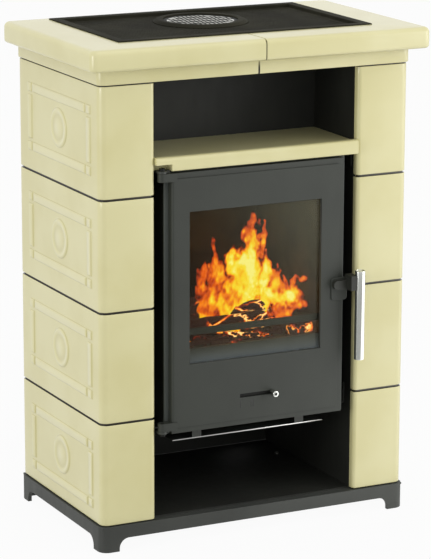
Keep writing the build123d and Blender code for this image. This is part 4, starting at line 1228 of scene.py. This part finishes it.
@dataclass
class TopPlate(Part):
    """The black top plate: a flat rim, a sunk perforated field and the lift-off flue cap.

    The profiles are the radii of the cap's pieces and their heights over the sheet they stand on.
    """

    half_width: float = 273.5
    depth: Span = (45.0, 379.0)
    rim: float = 20.0
    skirt: float = 12.1
    top: float = 992.5
    under: float = 990.0
    field_level: float = 984.0
    sheet: float = 1.5
    margin: float = 9.0
    pitch: float = 6.4
    hole_share: float = 0.31
    overlap: float = 0.4
    skin: float = 0.05
    flue: Plan = (0.0, 253.0)
    open_radius: float = 91.0
    slot_pitch: Plan = (9.2, 26.0)
    slot: Plan = (2.3, 7.6)
    slot_reach: float = 73.6
    slot_levels: Span = (0.9, 1.5)
    ring_profile: tuple[Plan, ...] = (
        *((71.0, -1.5), (77.0, -1.5), (77.0, 0.0), (94.6, 0.0), (95.0, 0.4), (95.0, 1.2)),
        *((93.4, 2.2), (90.0, 4.4), (87.2, 5.7), (86.0, 6.0), (76.2, 6.0), (75.2, 5.6)),
        *((75.0, 5.0), (75.0, 1.5), (71.0, 1.5), (71.0, -1.5)),
    )
    cover_profile: tuple[Plan, ...] = (
        *((66.5, -0.02), (74.3, -0.02), (74.5, 0.2), (74.5, 1.3), (74.2, 1.52), (67.5, 1.52)),
        (66.5, -0.02),
    )
    glint_disc_profile: tuple[Plan, ...] = ((0.0, 0.0), (70.0, 0.0), (70.0, 0.88), (0.0, 0.88))

    def plate(self) -> bpy.types.Object:
        """Builds the plate: a rim profile carried round a rectangle, and the lattice inside."""
        d0, d1 = self.depth
        half_d, middle = (d1 - d0) / 2, np.array([0.0, (d0 + d1) / 2, 0.0])
        room = np.array([self.half_width, half_d]) - self.rim - self.margin
        across, back = (int(2 * half // self.pitch) for half in room)
        xs, ds = ((np.arange(n) - (n - 1) / 2) * self.pitch for n in (across, back))
        centres = np.stack(np.meshgrid(xs, ds + middle[1]), -1).reshape(-1, 2)
        reach = np.hypot(*(centres - np.array(self.flue)).T)
        low, high = self.field_level, self.field_level + self.sheet
        hole = self.pitch * self.hole_share
        lattice = Lattice((self.pitch, self.pitch), (hole, hole), (low, high))
        shell = lattice.cells(centres[reach > self.open_radius])

        def rings(*pairs: Span) -> list[Place]:
            """Half the rim's width and depth, and its height, for pairs of inset and height."""
            return [(self.half_width - inset, half_d - inset, height) for inset, height in pairs]

        edge_x, edge_d = (n * self.pitch / 2 - self.overlap for n in (across, back))
        rim, top, floor, roof = self.rim, self.top, low - self.skin, high + self.skin
        profile = [
            *rings((0.0, self.under), (0.0, top - 0.8), (0.8, top), (rim - 1.2, top)),
            *rings((rim, top - 1.2), (rim, high + 0.8), (rim + 0.8, roof)),
            *((edge_x, edge_d, roof), (edge_x, edge_d, floor)),
            *rings((self.skirt, floor), (self.skirt, self.under), (0.0, self.under)),
        ]
        signs = np.array([[-1, -1, 1], [1, -1, 1], [1, 1, 1], [-1, 1, 1]])
        shell.net(np.array(profile)[:, None] * signs + middle, closed=True)
        return shell.build("perforated_top_plate", crease=30.0)

    def over(self, sheets: int, height: float) -> float:
        """A height over a number of sheets that lie on each other."""
        return self.field_level + sheets * self.sheet + height

    def raised(self, profile: Sequence[Plan], sheets: int) -> list[Plan]:
        """A profile's radii and heights, when it stands on a number of sheets."""
        return [(radius, self.over(sheets, height)) for radius, height in profile]

    def cover(self) -> bpy.types.Object:
        """Builds the disc: staggered rows of slots whose walls take the pale finish, partly their
        bare metal and partly a painted highlight, with a plain rim round them.
        """
        wide, deep = self.slot_pitch
        rows, columns = np.meshgrid(np.arange(-8, 9), np.arange(-18, 19), indexing="ij")
        grid = np.stack([(columns + 0.5 * (rows % 2)) * wide, rows * deep], -1).reshape(-1, 2)
        inside = np.hypot(*(np.abs(grid) + np.array([wide, deep]) / 2).T) < self.slot_reach
        low, high = (self.over(2, height) for height in self.slot_levels)
        lattice = Lattice(self.slot_pitch, self.slot, (low, high), 16)
        shell = lattice.cells(grid[inside] + np.array(self.flue))
        turned(shell, np.array(self.raised(self.cover_profile, 2)), (*self.flue, 0.0))
        return shell.build("flue_cap_mesh", crease=30.0)

    def build(self) -> None:
        """Builds the plate, the ring round the flue cover, the cover and the pale disc in it under
        the slots, which is a painted highlight.
        """
        middle = (*self.flue, 0.0)
        self.done(self.plate(), Finish.PLATE, "stove", ["top_plate"], second=Finish.PLATE)
        ring = turned_piece("flue_cap_ring", self.raised(self.ring_profile, 1), middle)
        self.done(ring, Finish.PLATE, "flue_cap", ["flue_ring"])
        self.done(self.cover(), Finish.MESH, "flue_cap", ["flue_cover"], second=Finish.EDGE_GLINT)
        # A pale disc under the slots, so that they show bright: a painted highlight.
        glint_disc = turned_piece("flue_cap_liner", self.raised(self.glint_disc_profile, 2), middle)
        self.done(glint_disc, Finish.EDGE_GLINT, "flue_cap")


@dataclass
class Shelf(Part):
    """The glazed shelf under the niche, with a rounded lip and a notch for the upper hinge."""

    half: float = 219.5
    front: float = -6.0
    back: float = 178.0
    bottom: float = 744.3
    top: float = 768.0
    lip_rise: float = 4.0
    lip: float = 16.0
    slope: float = 12.0
    nose: float = 7.0
    toe: float = 2.4
    notch: Place = (-186.0, 19.0, 758.3)

    def section(self) -> np.ndarray:
        """The shelf's outline in depth and height, from its back under its foot and round."""
        turn, run = np.linspace(0, QUARTER, 8), np.linspace(0, 1, 9)
        sine, cosine = 1 - np.sin(turn), 1 - np.cos(turn)
        front, peak = self.front, self.top + self.lip_rise
        toe = np.stack([front + self.toe * sine, self.bottom + self.toe * cosine], 1)
        nose = np.stack([front + self.nose * cosine, peak - self.nose * sine], 1)
        drop = self.lip_rise * ease(run, 0.0, 1.0)
        fall = np.stack([front + self.lip + self.slope * run, peak - drop], 1)
        foot = [[depth, self.bottom] for depth in (self.back, self.notch[1], self.notch[1])]
        return np.concatenate([foot, toe, nose, fall, [[self.back, self.top]]])

    def build(self) -> None:
        """Builds the shelf: its section carried along x, lifted out of the notch at the left."""
        section = self.section()
        cut = section.copy()
        inside = (cut[:, 0] < self.notch[1] + 0.01) & (cut[:, 1] < self.notch[2])
        inside[1] = False
        cut[inside, 1] = self.notch[2]
        edge = self.notch[0]
        stations = [(-self.half, cut), (edge, cut), (edge, section), (self.half, section)]
        net = np.stack([np.column_stack([np.full(len(s), x), s]) for x, s in stations])
        shell = Shell()
        shell.net(np.concatenate([net, net[:, :1]], axis=1))
        for end in (0, -1):
            shell.flat(net[end])
        self.done(shell.build("glazed_shelf", crease=40.0), Finish.CREAM, "stove", ["shelf"])


@dataclass
class Casing(Part):
    """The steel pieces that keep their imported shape, with softened edges where they show."""

    eased: dict[str, tuple[Finish, float]] = field(
        default_factory=lambda: {
            "plinth_frame": (Finish.PLINTH, 1.6),
            "front_frame": (Finish.GREY_STEEL_LIT, 0.8),
            "log_guard": (Finish.GREY_STEEL_LIT, 0.8),
            "bracket_upper": (Finish.GREY_STEEL, 0.7),
            "bracket_lower": (Finish.GREY_STEEL, 0.7),
            "lug_upper": (Finish.DOOR, 1.0),
            "lug_lower": (Finish.DOOR, 1.0),
            "door_frame": (Finish.DOOR, 0.7),
            "latch_plate": (Finish.DOOR, 0.5),
            "handle_arm": (Finish.BLACK_STEEL, 0.9),
            "heat_shield": (Finish.GREY_STEEL, 0.3),
        }
    )

    def build(self) -> None:
        """Builds the eased copies."""
        for node, (finish, width) in self.eased.items():
            source = bpy.data.objects[node]
            self.done(eased_copy(source, f"{node}_eased", width), finish, source["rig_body"], [node])


@dataclass
class Handle(Part):
    """The bright tube of the handle, with its plugs, and the knob of the air slider."""

    grip: Plan = (211.0, -34.0)
    grip_radius: float = 10.2
    grip_span: Span = (335.0, 516.0)
    grip_edge: float = 1.2
    knob: Plan = (30.0, 283.0)
    knob_depth: Span = (-26.0, -9.0)
    knob_radius: float = 6.3
    neck: float = 3.0

    def tube(self) -> bpy.types.Object:
        """Builds the tube with eased rims and sunk plugs, as a turned shape."""
        low, high = self.grip_span
        r, edge = self.grip_radius, self.grip_edge
        heights, insets = rounded(low, high, edge, edge).T
        plug = np.array([(0.0, 0.9), (r - 2.4, 0.9), (r - 2.0, 0.1), (r - 1.6, 0.0)])
        foot, head = plug + [0.0, low], (plug * [1.0, -1.0] + [0.0, high])[::-1]
        profile = np.concatenate([foot, np.stack([r - insets, heights], 1), head])
        return turned_piece("handle_tube", profile, (*self.grip, 0.0), steps=72)

    def button(self) -> bpy.types.Object:
        """Builds the slider's knob, with a neck, two eased rims and a sunk face."""
        r, neck, (front, back) = self.knob_radius, self.neck, self.knob_depth
        profile = [
            *((0.0, -2.6), (neck, -2.6), (neck, back), (r - 0.9, back), (r - 0.25, back - 0.3)),
            *((r, back - 0.9), (r, front + 1.4), (r - 0.4, front + 0.5), (r - 1.4, front)),
            *((neck + 0.1, front), (neck, front + 0.2), (neck, front + 3.0), (0.0, front + 3.0)),
        ]
        return turned_piece("slider_knob", profile, (self.knob[0], 0.0, self.knob[1]), "y", 48)

    def build(self) -> None:
        """Builds the tube and the knob."""
        self.done(self.tube(), Finish.CHROME, "handle", ["handle_grip", "grip_plugs"])
        self.done(self.button(), Finish.CHROME, "air_slider", ["air_knob"])


@dataclass
class Trim(Part):
    """Small trim: the two marks under the air slot and the rolled hem of the heat shield."""

    strokes: tuple[float, ...] = (-38.6, -15.0, -10.2)
    stroke_half: float = 0.8
    stroke_span: Span = (258.5, 274.7)
    face: float = -7.0
    proud: float = 0.14
    hem_half: float = 167.0
    hem_depth: Span = (34.4, 36.4)
    hem_span: Span = (196.0, 198.6)

    def bar(self, shell: Shell, x: Span, depth: Span, height: Span, edge: float) -> None:
        """Adds a bar with chamfered edges and drawn-in ends, as four eight-sided rings along x."""
        (d0, d1), (z0, z1), e = depth, height, edge
        front, back = [(d0, z0 + e), (d0, z1 - e), (d0 + e, z1)], [(d1, z1 - e), (d1, z0 + e)]
        outline = np.array([*front, (d1 - e, z1), *back, (d1 - e, z0), (d0 + e, z0)])
        middle = outline.mean(axis=0)
        drawn = middle + (outline - middle) * (1 - 2 * e / min(d1 - d0, z1 - z0) * 0.8)
        stations = [(x[0], drawn), (x[0] + e, outline), (x[1] - e, outline), (x[1], drawn)]
        rings = np.stack([np.column_stack([np.full(8, place), shape]) for place, shape in stations])
        shell.net(rings, closed=True)
        for end in (0, -1):
            shell.flat(rings[end])

    def build(self) -> None:
        """Builds the marks and the hem."""
        marks, hem = Shell(), Shell()
        for x in self.strokes:
            span = (x - self.stroke_half, x + self.stroke_half)
            self.bar(marks, span, (self.face - self.proud, self.face + 0.3), self.stroke_span, 0.1)
        self.bar(hem, (-self.hem_half, self.hem_half), self.hem_depth, self.hem_span, 0.5)
        self.done(marks.build("air_marks", crease=50.0), Finish.SCREW, "door")
        self.done(hem.build("shield_hem", crease=50.0), Finish.SATIN)


@dataclass(frozen=True)
class Tongue:
    """One lobe of flame: two ends as (x, height), the half width at each, and the heat."""

    foot: Plan
    tip: Plan
    wide: float
    narrow: float
    heat: float


def tongues(*rows: Sequence[float]) -> tuple[Tongue, ...]:
    """Lobes from rows: the foot's x and height, the tip's, the half widths and the heat."""
    return tuple(Tongue(row[0:2], row[2:4], *row[4:]) for row in rows)


@dataclass(frozen=True)
class FlameSheet:
    """An upright sheet of flame at one depth, made of lobes that clouds pull ragged."""

    depth: float
    seed: int
    tongues: tuple[Tongue, ...]
    near: float = 0.0
    slant: Plan = (0.0, 0.0)
    window: tuple[float, float, float, float] | None = None
    cooler: float = 1.0
    step: float = 2.2
    half: float = 159.0
    laid: float = 110.0
    left_fade: Span = (68.0, 88.0)
    nearing: Span = (45.0, 150.0)

    def field(self, x: np.ndarray, z: np.ndarray) -> tuple[np.ndarray, np.ndarray]:
        """How far inside the flames each place is, from -1 to 1, and how hot it is there.

        The place is first moved by two clouds, one of coarse and one of fine billows. A lobe counts
        1 - d / r, where d is the distance to the line between its ends and r its half width there,
        and the innermost lobe wins.
        """
        coarse_x = cloud(x / 46, z / 60, self.seed, 3)
        fine_x = cloud(x / 15, z / 22, self.seed + 1, 3)
        coarse_z = cloud(x / 46 + 9, z / 60, self.seed + 2, 3)
        fine_z = cloud(x / 13, z / 20, self.seed + 3, 3)
        across = x + (coarse_x - 0.5) * 44 + (fine_x - 0.5) * 26
        up = z + (coarse_z - 0.5) * 50 + (fine_z - 0.5) * 30
        inside, hot = np.full_like(x, -1.0), np.zeros_like(x)
        for lobe in self.tongues:
            (x0, z0), (x1, z1) = lobe.foot, lobe.tip
            run, rise = x1 - x0, z1 - z0
            share = np.clip(((across - x0) * run + (up - z0) * rise) / (run**2 + rise**2), 0.0, 1.0)
            away = np.hypot(across - x0 - share * run, up - z0 - share * rise)
            reach = np.clip(1.0 - away / (lobe.wide + (lobe.narrow - lobe.wide) * share), -1.0, 1.0)
            inside = np.maximum(inside, reach)
            hot = np.maximum(hot, np.clip(reach * 1.6, 0.0, 1.0) ** 0.7 * lobe.heat)
        return inside, hot

    def add_to(self, shell: Shell) -> None:
        """Adds the sheet. Its trace keeps how solid and how bright it is.

        The lobes are laid out 110 mm deep, and fade out at the left edge of the glass. The sheet
        waves by a sine and comes nearer to the right by a soft step of x; each point moves sideways
        and down in step with its depth, so that the fire keeps its outline from the front left.
        """
        ends = np.array([(t.foot, t.tip) for t in self.tongues])
        xs = np.arange(ends[..., 0].min() - 50.0, ends[..., 0].max() + 50.0, self.step)
        zs = np.arange(ends[..., 1].min() - 45.0, ends[..., 1].max() + 45.0, self.step)
        x, z = np.meshgrid(xs, zs)
        inside, hot = self.field(x, z)
        billow = cloud(x / 20, z / 28, self.seed + 9, 4, 0.62) - 0.5
        lick = cloud(x / 8, z / 13, self.seed + 12, 3, 0.6) - 0.5
        bright = (hot * 0.92 + billow * 1.2 + lick * 0.4) * self.cooler
        solid = inside + billow * 1.4 * (1.15 - hot) + lick * 0.4 * (1.2 - hot) + 0.06
        solid = solid - 1.5 * ease(billow * 30.0 - x, *self.left_fade)
        if self.window is not None:
            cx, cz, rx, rz = self.window
            gap = 1.0 - np.hypot((x - cx) / rx, (z - cz) / rz) + billow * 0.8
            solid = solid - 1.6 * ease(gap, -0.15, 0.2)
        wave = 4.0 * np.sin(x / 31.0 + self.seed)
        depth = self.depth - self.near * ease(x, *self.nearing) + wave
        x = x + self.slant[0] * (depth - self.laid)
        z = z + self.slant[1] * (depth - self.laid)
        solid = np.minimum(solid, (self.half - np.abs(x)) * 0.08)
        trace = np.stack([solid, bright, np.zeros_like(x)], -1)
        quads = net_quads(*x.shape)
        kept = quads[(solid.ravel()[quads] > -0.1).any(axis=1)]
        shell.faces(np.stack([x, depth, z], -1), kept, np.zeros(len(kept), int), trace)


@dataclass(frozen=True)
class Log:
    """One charred log: its middle, length, radius, heading in plan, seed, heat and glow's edge."""

    middle: Place
    length: float
    radius: float
    heading: float
    seed: int
    heat: float
    glow: Span = (-72.0, -36.0)

    def add_to(self, shell: Shell) -> None:
        """Adds the log.

        Its section is r (1 + 0.16 cos(3 a + p) + 0.07 sin(5 a + q)) and swells by slow sines along
        the length; the ends are drawn in and closed on the middle. The glow dies out towards the
        left.
        """
        turn = np.linspace(0, FULL, 40, endpoint=False)
        along = np.linspace(-0.5, 0.5, 44)
        phase = np.random.default_rng(self.seed).uniform(0, FULL, 6)
        t, a = np.meshgrid(along, turn, indexing="ij")
        shape = 1 + 0.16 * np.cos(3 * a + phase[0]) + 0.07 * np.sin(5 * a + phase[1])
        shape += 0.05 * np.sin(9 * a + 6 * t + phase[2]) + 0.05 * np.sin(14 * t + phase[3])
        shape += 0.035 * np.sin(31 * t + 4 * a + phase[4]) + 0.03 * np.sin(17 * a + phase[5])
        shape *= np.where(np.abs(t) > 0.499, 0.0, np.where(np.abs(t) > 0.47, 0.93, 1.0))
        across, up = self.radius * shape * np.cos(a), self.radius * shape * np.sin(a)
        run = self.length * np.clip(t, -0.478, 0.478)
        x = run * math.cos(self.heading) - across * math.sin(self.heading)
        depth = run * math.sin(self.heading) + across * math.cos(self.heading)
        trace = first_trace(x, self.heat * ease(x + self.middle[0], *self.glow))
        shell.net(np.stack([x, depth, up], -1) + np.array(self.middle), closed=True, trace=trace)


@dataclass
class Fire(Part):
    """The flames, the charred logs and the embers in the firebox."""

    front: FlameSheet = FlameSheet(
        148.0,
        205,
        tongues(
            (37, 438, 39, 520, 40, 31, 1.00), (68, 439, 77, 529, 26, 14, 0.88),
            (10, 453, 15, 539, 25, 12, 0.84), (41, 528, 41, 553, 28, 17, 0.84),
            (86, 503, 81, 549, 17, 6, 0.60), (1, 524, 1, 548, 13, 6, 0.64),
            (36, 568, 44, 606, 16, 9, 0.42), (66, 540, 66, 590, 11, 5, 0.46),
            (50, 548, 48, 574, 13, 9, 0.50), (-41, 487, -34, 527, 24, 11, 0.42),
            (-47, 524, -45, 572, 8, 5, 0.34), (-21, 497, -23, 526, 17, 11, 0.46),
            (-72, 461, -75, 519, 24, 11, 0.38), (-57, 439, -43, 470, 32, 19, 0.54),
            (-85, 448, -86, 484, 15, 8, 0.44), (-68, 415, 19, 415, 22, 19, 0.66),
            (-17, 447, 1, 470, 28, 19, 0.74), (113, 443, 99, 506, 26, 9, 0.52),
            (131, 438, 131, 475, 19, 9, 0.54), (148, 432, 153, 481, 19, 9, 0.54),
            (64, 448, 140, 440, 18, 14, 0.94), (86, 421, 135, 427, 17, 15, 0.50),
            (-21, 403, 68, 405, 15, 12, 0.76),
        ),
        near=66.0,
        slant=(0.5, -0.28),
        window=(40.0, 420.0, 38.0, 15.0),
    )
    behind: FlameSheet = FlameSheet(
        200.0,
        51,
        tongues(
            (60, 430, 64, 500, 44, 22, 0.90), (10, 430, 8, 486, 38, 16, 0.80),
            (105, 425, 112, 470, 28, 12, 0.62),
        ),
        cooler=0.75,
    )
    wood: tuple[Log, ...] = (
        Log((0.0, 142.0, 391.5), 236.0, 15.5, 0.02, 3, 0.8),
        Log((0.0, 191.0, 391.5), 236.0, 15.5, -0.03, 5, 0.4),
        Log((0.0, 166.6, 424.0), 236.0, 15.0, -math.radians(10), 8, 0.9),
        Log((127.0, 62.0, 387.5), 58.0, 11.5, 0.25, 12, 0.85),
        Log((8.0, 84.0, 381.0), 76.0, 5.2, -0.6, 15, 1.3),
        Log((-72.0, 70.0, 380.0), 96.0, 4.8, 0.12, 17, 0.5),
    )
    split_logs: int = 3
    coals: int = 90
    bed_x: Span = (-150, 150)
    bed_depth: Span = (44, 118)
    bed_level: float = 376.5

    def embers(self, shell: Shell) -> None:
        """Adds lumps of ember on the floor of the firebox.

        A lump is a sphere of 8 by 12 points whose radius swells by sines of its two angles, half
        of it sunk in the floor; places, sizes and phases are drawn from one seeded row.
        """
        rng = np.random.default_rng(21)
        angles = np.linspace(0, math.pi, 8), np.linspace(0, FULL, 12, endpoint=False)
        lift, turn = np.meshgrid(*angles, indexing="ij")
        for _ in range(self.coals):
            x, depth = rng.uniform(*self.bed_x), rng.uniform(*self.bed_depth)
            size, phase, heat = rng.uniform(3.5, 8.0), rng.uniform(0, 6, 3), rng.uniform(0.0, 0.5)
            wave = 0.2 * np.sin(3 * turn + phase[0]) * np.sin(lift)
            swell = size * (1 + wave + 0.15 * np.cos(4 * lift + phase[1]))
            out, up = swell * np.sin(lift), 0.75 * swell * np.cos(lift)
            ball = np.stack([out * np.cos(turn), out * np.sin(turn), up], -1)
            middle = np.array([x, depth, self.bed_level])
            shell.net(ball + middle, closed=True, trace=first_trace(lift, heat))

    def flames(self) -> bpy.types.Object:
        """Builds the two sheets of flame as one piece."""
        shell = Shell()
        for sheet in (self.behind, self.front):
            sheet.add_to(shell)
        piece = shell.build("flames", crease=180.0, weld=False)
        piece.data.materials.append(Flame().material("flame"))
        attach(piece, "stove")
        return piece

    def build(self) -> None:
        """Builds the logs, the embers and the flames."""
        logs, bed = Shell(), Shell()
        for number, log in enumerate(self.wood):
            log.add_to(logs if number < self.split_logs else bed)
        self.embers(bed)
        self.done(logs.build("charred_logs", crease=60.0), Finish.WOOD, "stove", ["firewood"])
        self.done(bed.build("ember_bed", crease=60.0), Finish.WOOD)
        piece = self.flames()
        LOG.info("%s: %d faces", piece.name, len(piece.data.polygons))


# ---------------------------------------------------------------- the picture
@dataclass(frozen=True)
class Lamp:
    """One square soft lamp: its place, its side in metres and its power."""

    name: str
    place: Place
    size: float
    watts: float


@dataclass
class Studio:
    """Floor, background, lamps and camera."""

    eye: Place = (-2.45013, -4.92347, 1.80022)
    right: Place = (0.89519588, -0.44566396, 0.00282197)
    up: Place = (0.10228235, 0.21160709, 0.97198805)
    back: Place = (-0.43377719, -0.86983106, 0.23501335)
    lens: float = 180.94
    ambient: float = 0.9
    floor_colour: Colour = (0.5, 0.5, 0.49)
    floor_half: float = 8000.0
    floor_level: float = -0.2
    floor_glow: float = 0.95
    aim: Place = (0.0, 0.0, 0.5)
    mirrored_left: float = 0.5
    mirrored_right: float = 2.4
    lamps: tuple[Lamp, ...] = (
        Lamp("key_lamp", (2.9, -2.2, 1.3), 1.8, 48.0),
        Lamp("side_lamp", (-3.4, -1.1, 0.9), 1.1, 27.0),
        Lamp("top_lamp", (0.9, -1.2, 3.4), 1.8, 6.0),
    )

    def floor(self) -> None:
        """A pale floor that shows the stove's shadow softly.

        Mirrored in the stove it is darker left and lighter right of a line that runs away from the
        stove's middle: the soft step of 0.864 x + 0.446 (y + 0.19). Behind the stove it is even.
        """
        side = np.linspace(-self.floor_half, self.floor_half, 3)
        x, depth = np.meshgrid(side, side)
        shell = Shell()
        shell.net(np.stack([x, depth, np.full_like(x, self.floor_level)], -1))
        piece = shell.build("studio_floor")
        paint = Paint("studio_floor")
        pale = paint.node("ShaderNodeBsdfDiffuse", None, {"Color": self.floor_colour})
        x, y, _ = paint.split()
        aside = (0.864 * x + 0.446 * (y + 0.19)).within(-0.3, 0.3)
        behind = y.within(-0.35, -0.1)
        camera, glossy, through = paint.rays()
        before = self.mirrored_left + (self.mirrored_right - self.mirrored_left) * aside
        image = before * (1.0 - behind) + behind
        strength = camera.most(through) * (1.0 - glossy) + glossy * image
        bright = paint.node("ShaderNodeEmission", None, {"Color": WHITE, "Strength": strength})
        seen = camera.most(glossy).most(through)
        piece.data.materials.append(paint.close(paint.blend(seen * self.floor_glow, pale, bright)))

    def world(self) -> None:
        """White to the camera and in reflections, and a soft pale light elsewhere."""
        world = bpy.data.worlds.new("studio")
        bpy.context.scene.world = world
        paint = Paint("studio", world)
        camera, glossy, through = paint.rays()
        soft, white = (
            paint.node("ShaderNodeBackground", None, {"Color": WHITE, "Strength": strength})
            for strength in (self.ambient, 1.0)
        )
        seen = camera.most(through).most(glossy)
        paint.close(paint.blend(seen, soft, white), "ShaderNodeOutputWorld")

    def lamp(self, lamp: Lamp) -> None:
        """Adds one lamp, pointing at the middle of the stove."""
        light = bpy.data.lights.new(lamp.name, "AREA")
        light.shape = "SQUARE"
        light.size = lamp.size
        light.energy = lamp.watts
        thing = bpy.data.objects.new(lamp.name, light)
        thing.location = lamp.place
        thing.rotation_mode = "QUATERNION"
        thing.rotation_quaternion = (Vector(self.aim) - Vector(lamp.place)).to_track_quat("-Z", "Y")
        bpy.context.scene.collection.objects.link(thing)

    def camera(self) -> None:
        """Sets the camera where the photograph was taken from."""
        data = bpy.data.cameras.new("camera")
        data.lens = self.lens
        data.clip_start, data.clip_end = 0.1, 60.0
        thing = bpy.data.objects.new("camera", data)
        columns = np.array([self.right, self.up, self.back])
        matrix = Matrix(columns.T.tolist()).to_4x4()
        matrix.translation = Vector(self.eye)
        thing.matrix_world = matrix
        bpy.context.scene.collection.objects.link(thing)
        bpy.context.scene.camera = thing

    def build(self) -> None:
        """Builds the studio."""
        self.floor()
        self.world()
        for lamp in self.lamps:
            self.lamp(lamp)
        self.camera()
        bpy.context.scene.view_settings.view_transform = "Standard"


def dress_nodes(
    frame: dict, paints: Paints, dark: Sequence[str] = ("air_slide", "hinge_pins")
) -> None:
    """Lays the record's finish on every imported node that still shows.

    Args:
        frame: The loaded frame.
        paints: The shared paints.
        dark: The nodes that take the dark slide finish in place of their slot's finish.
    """
    slots = {row["node"]: row["material_slot"] for row in frame["record"]["subparts"]}
    for name, piece in frame["nodes"].items():
        finish = Finish.SLIDE if name in dark else Finish(slots[name])
        paints.lay(piece, finish, slot=False)


def main() -> None:
    """Builds the stove's pieces in order and sets up the picture."""
    logging.basicConfig(level=logging.INFO, format="%(message)s")
    bpy.ops.wm.read_factory_settings(use_empty=True)
    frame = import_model()
    paints = Paints()
    Studio().build()
    for part in (TileColumns, Crown, TopPlate, Shelf, Casing, Handle, Trim, Fire):
        part(paints).build()
    dress_nodes(frame, paints)


if __name__ == "__main__":
    main()
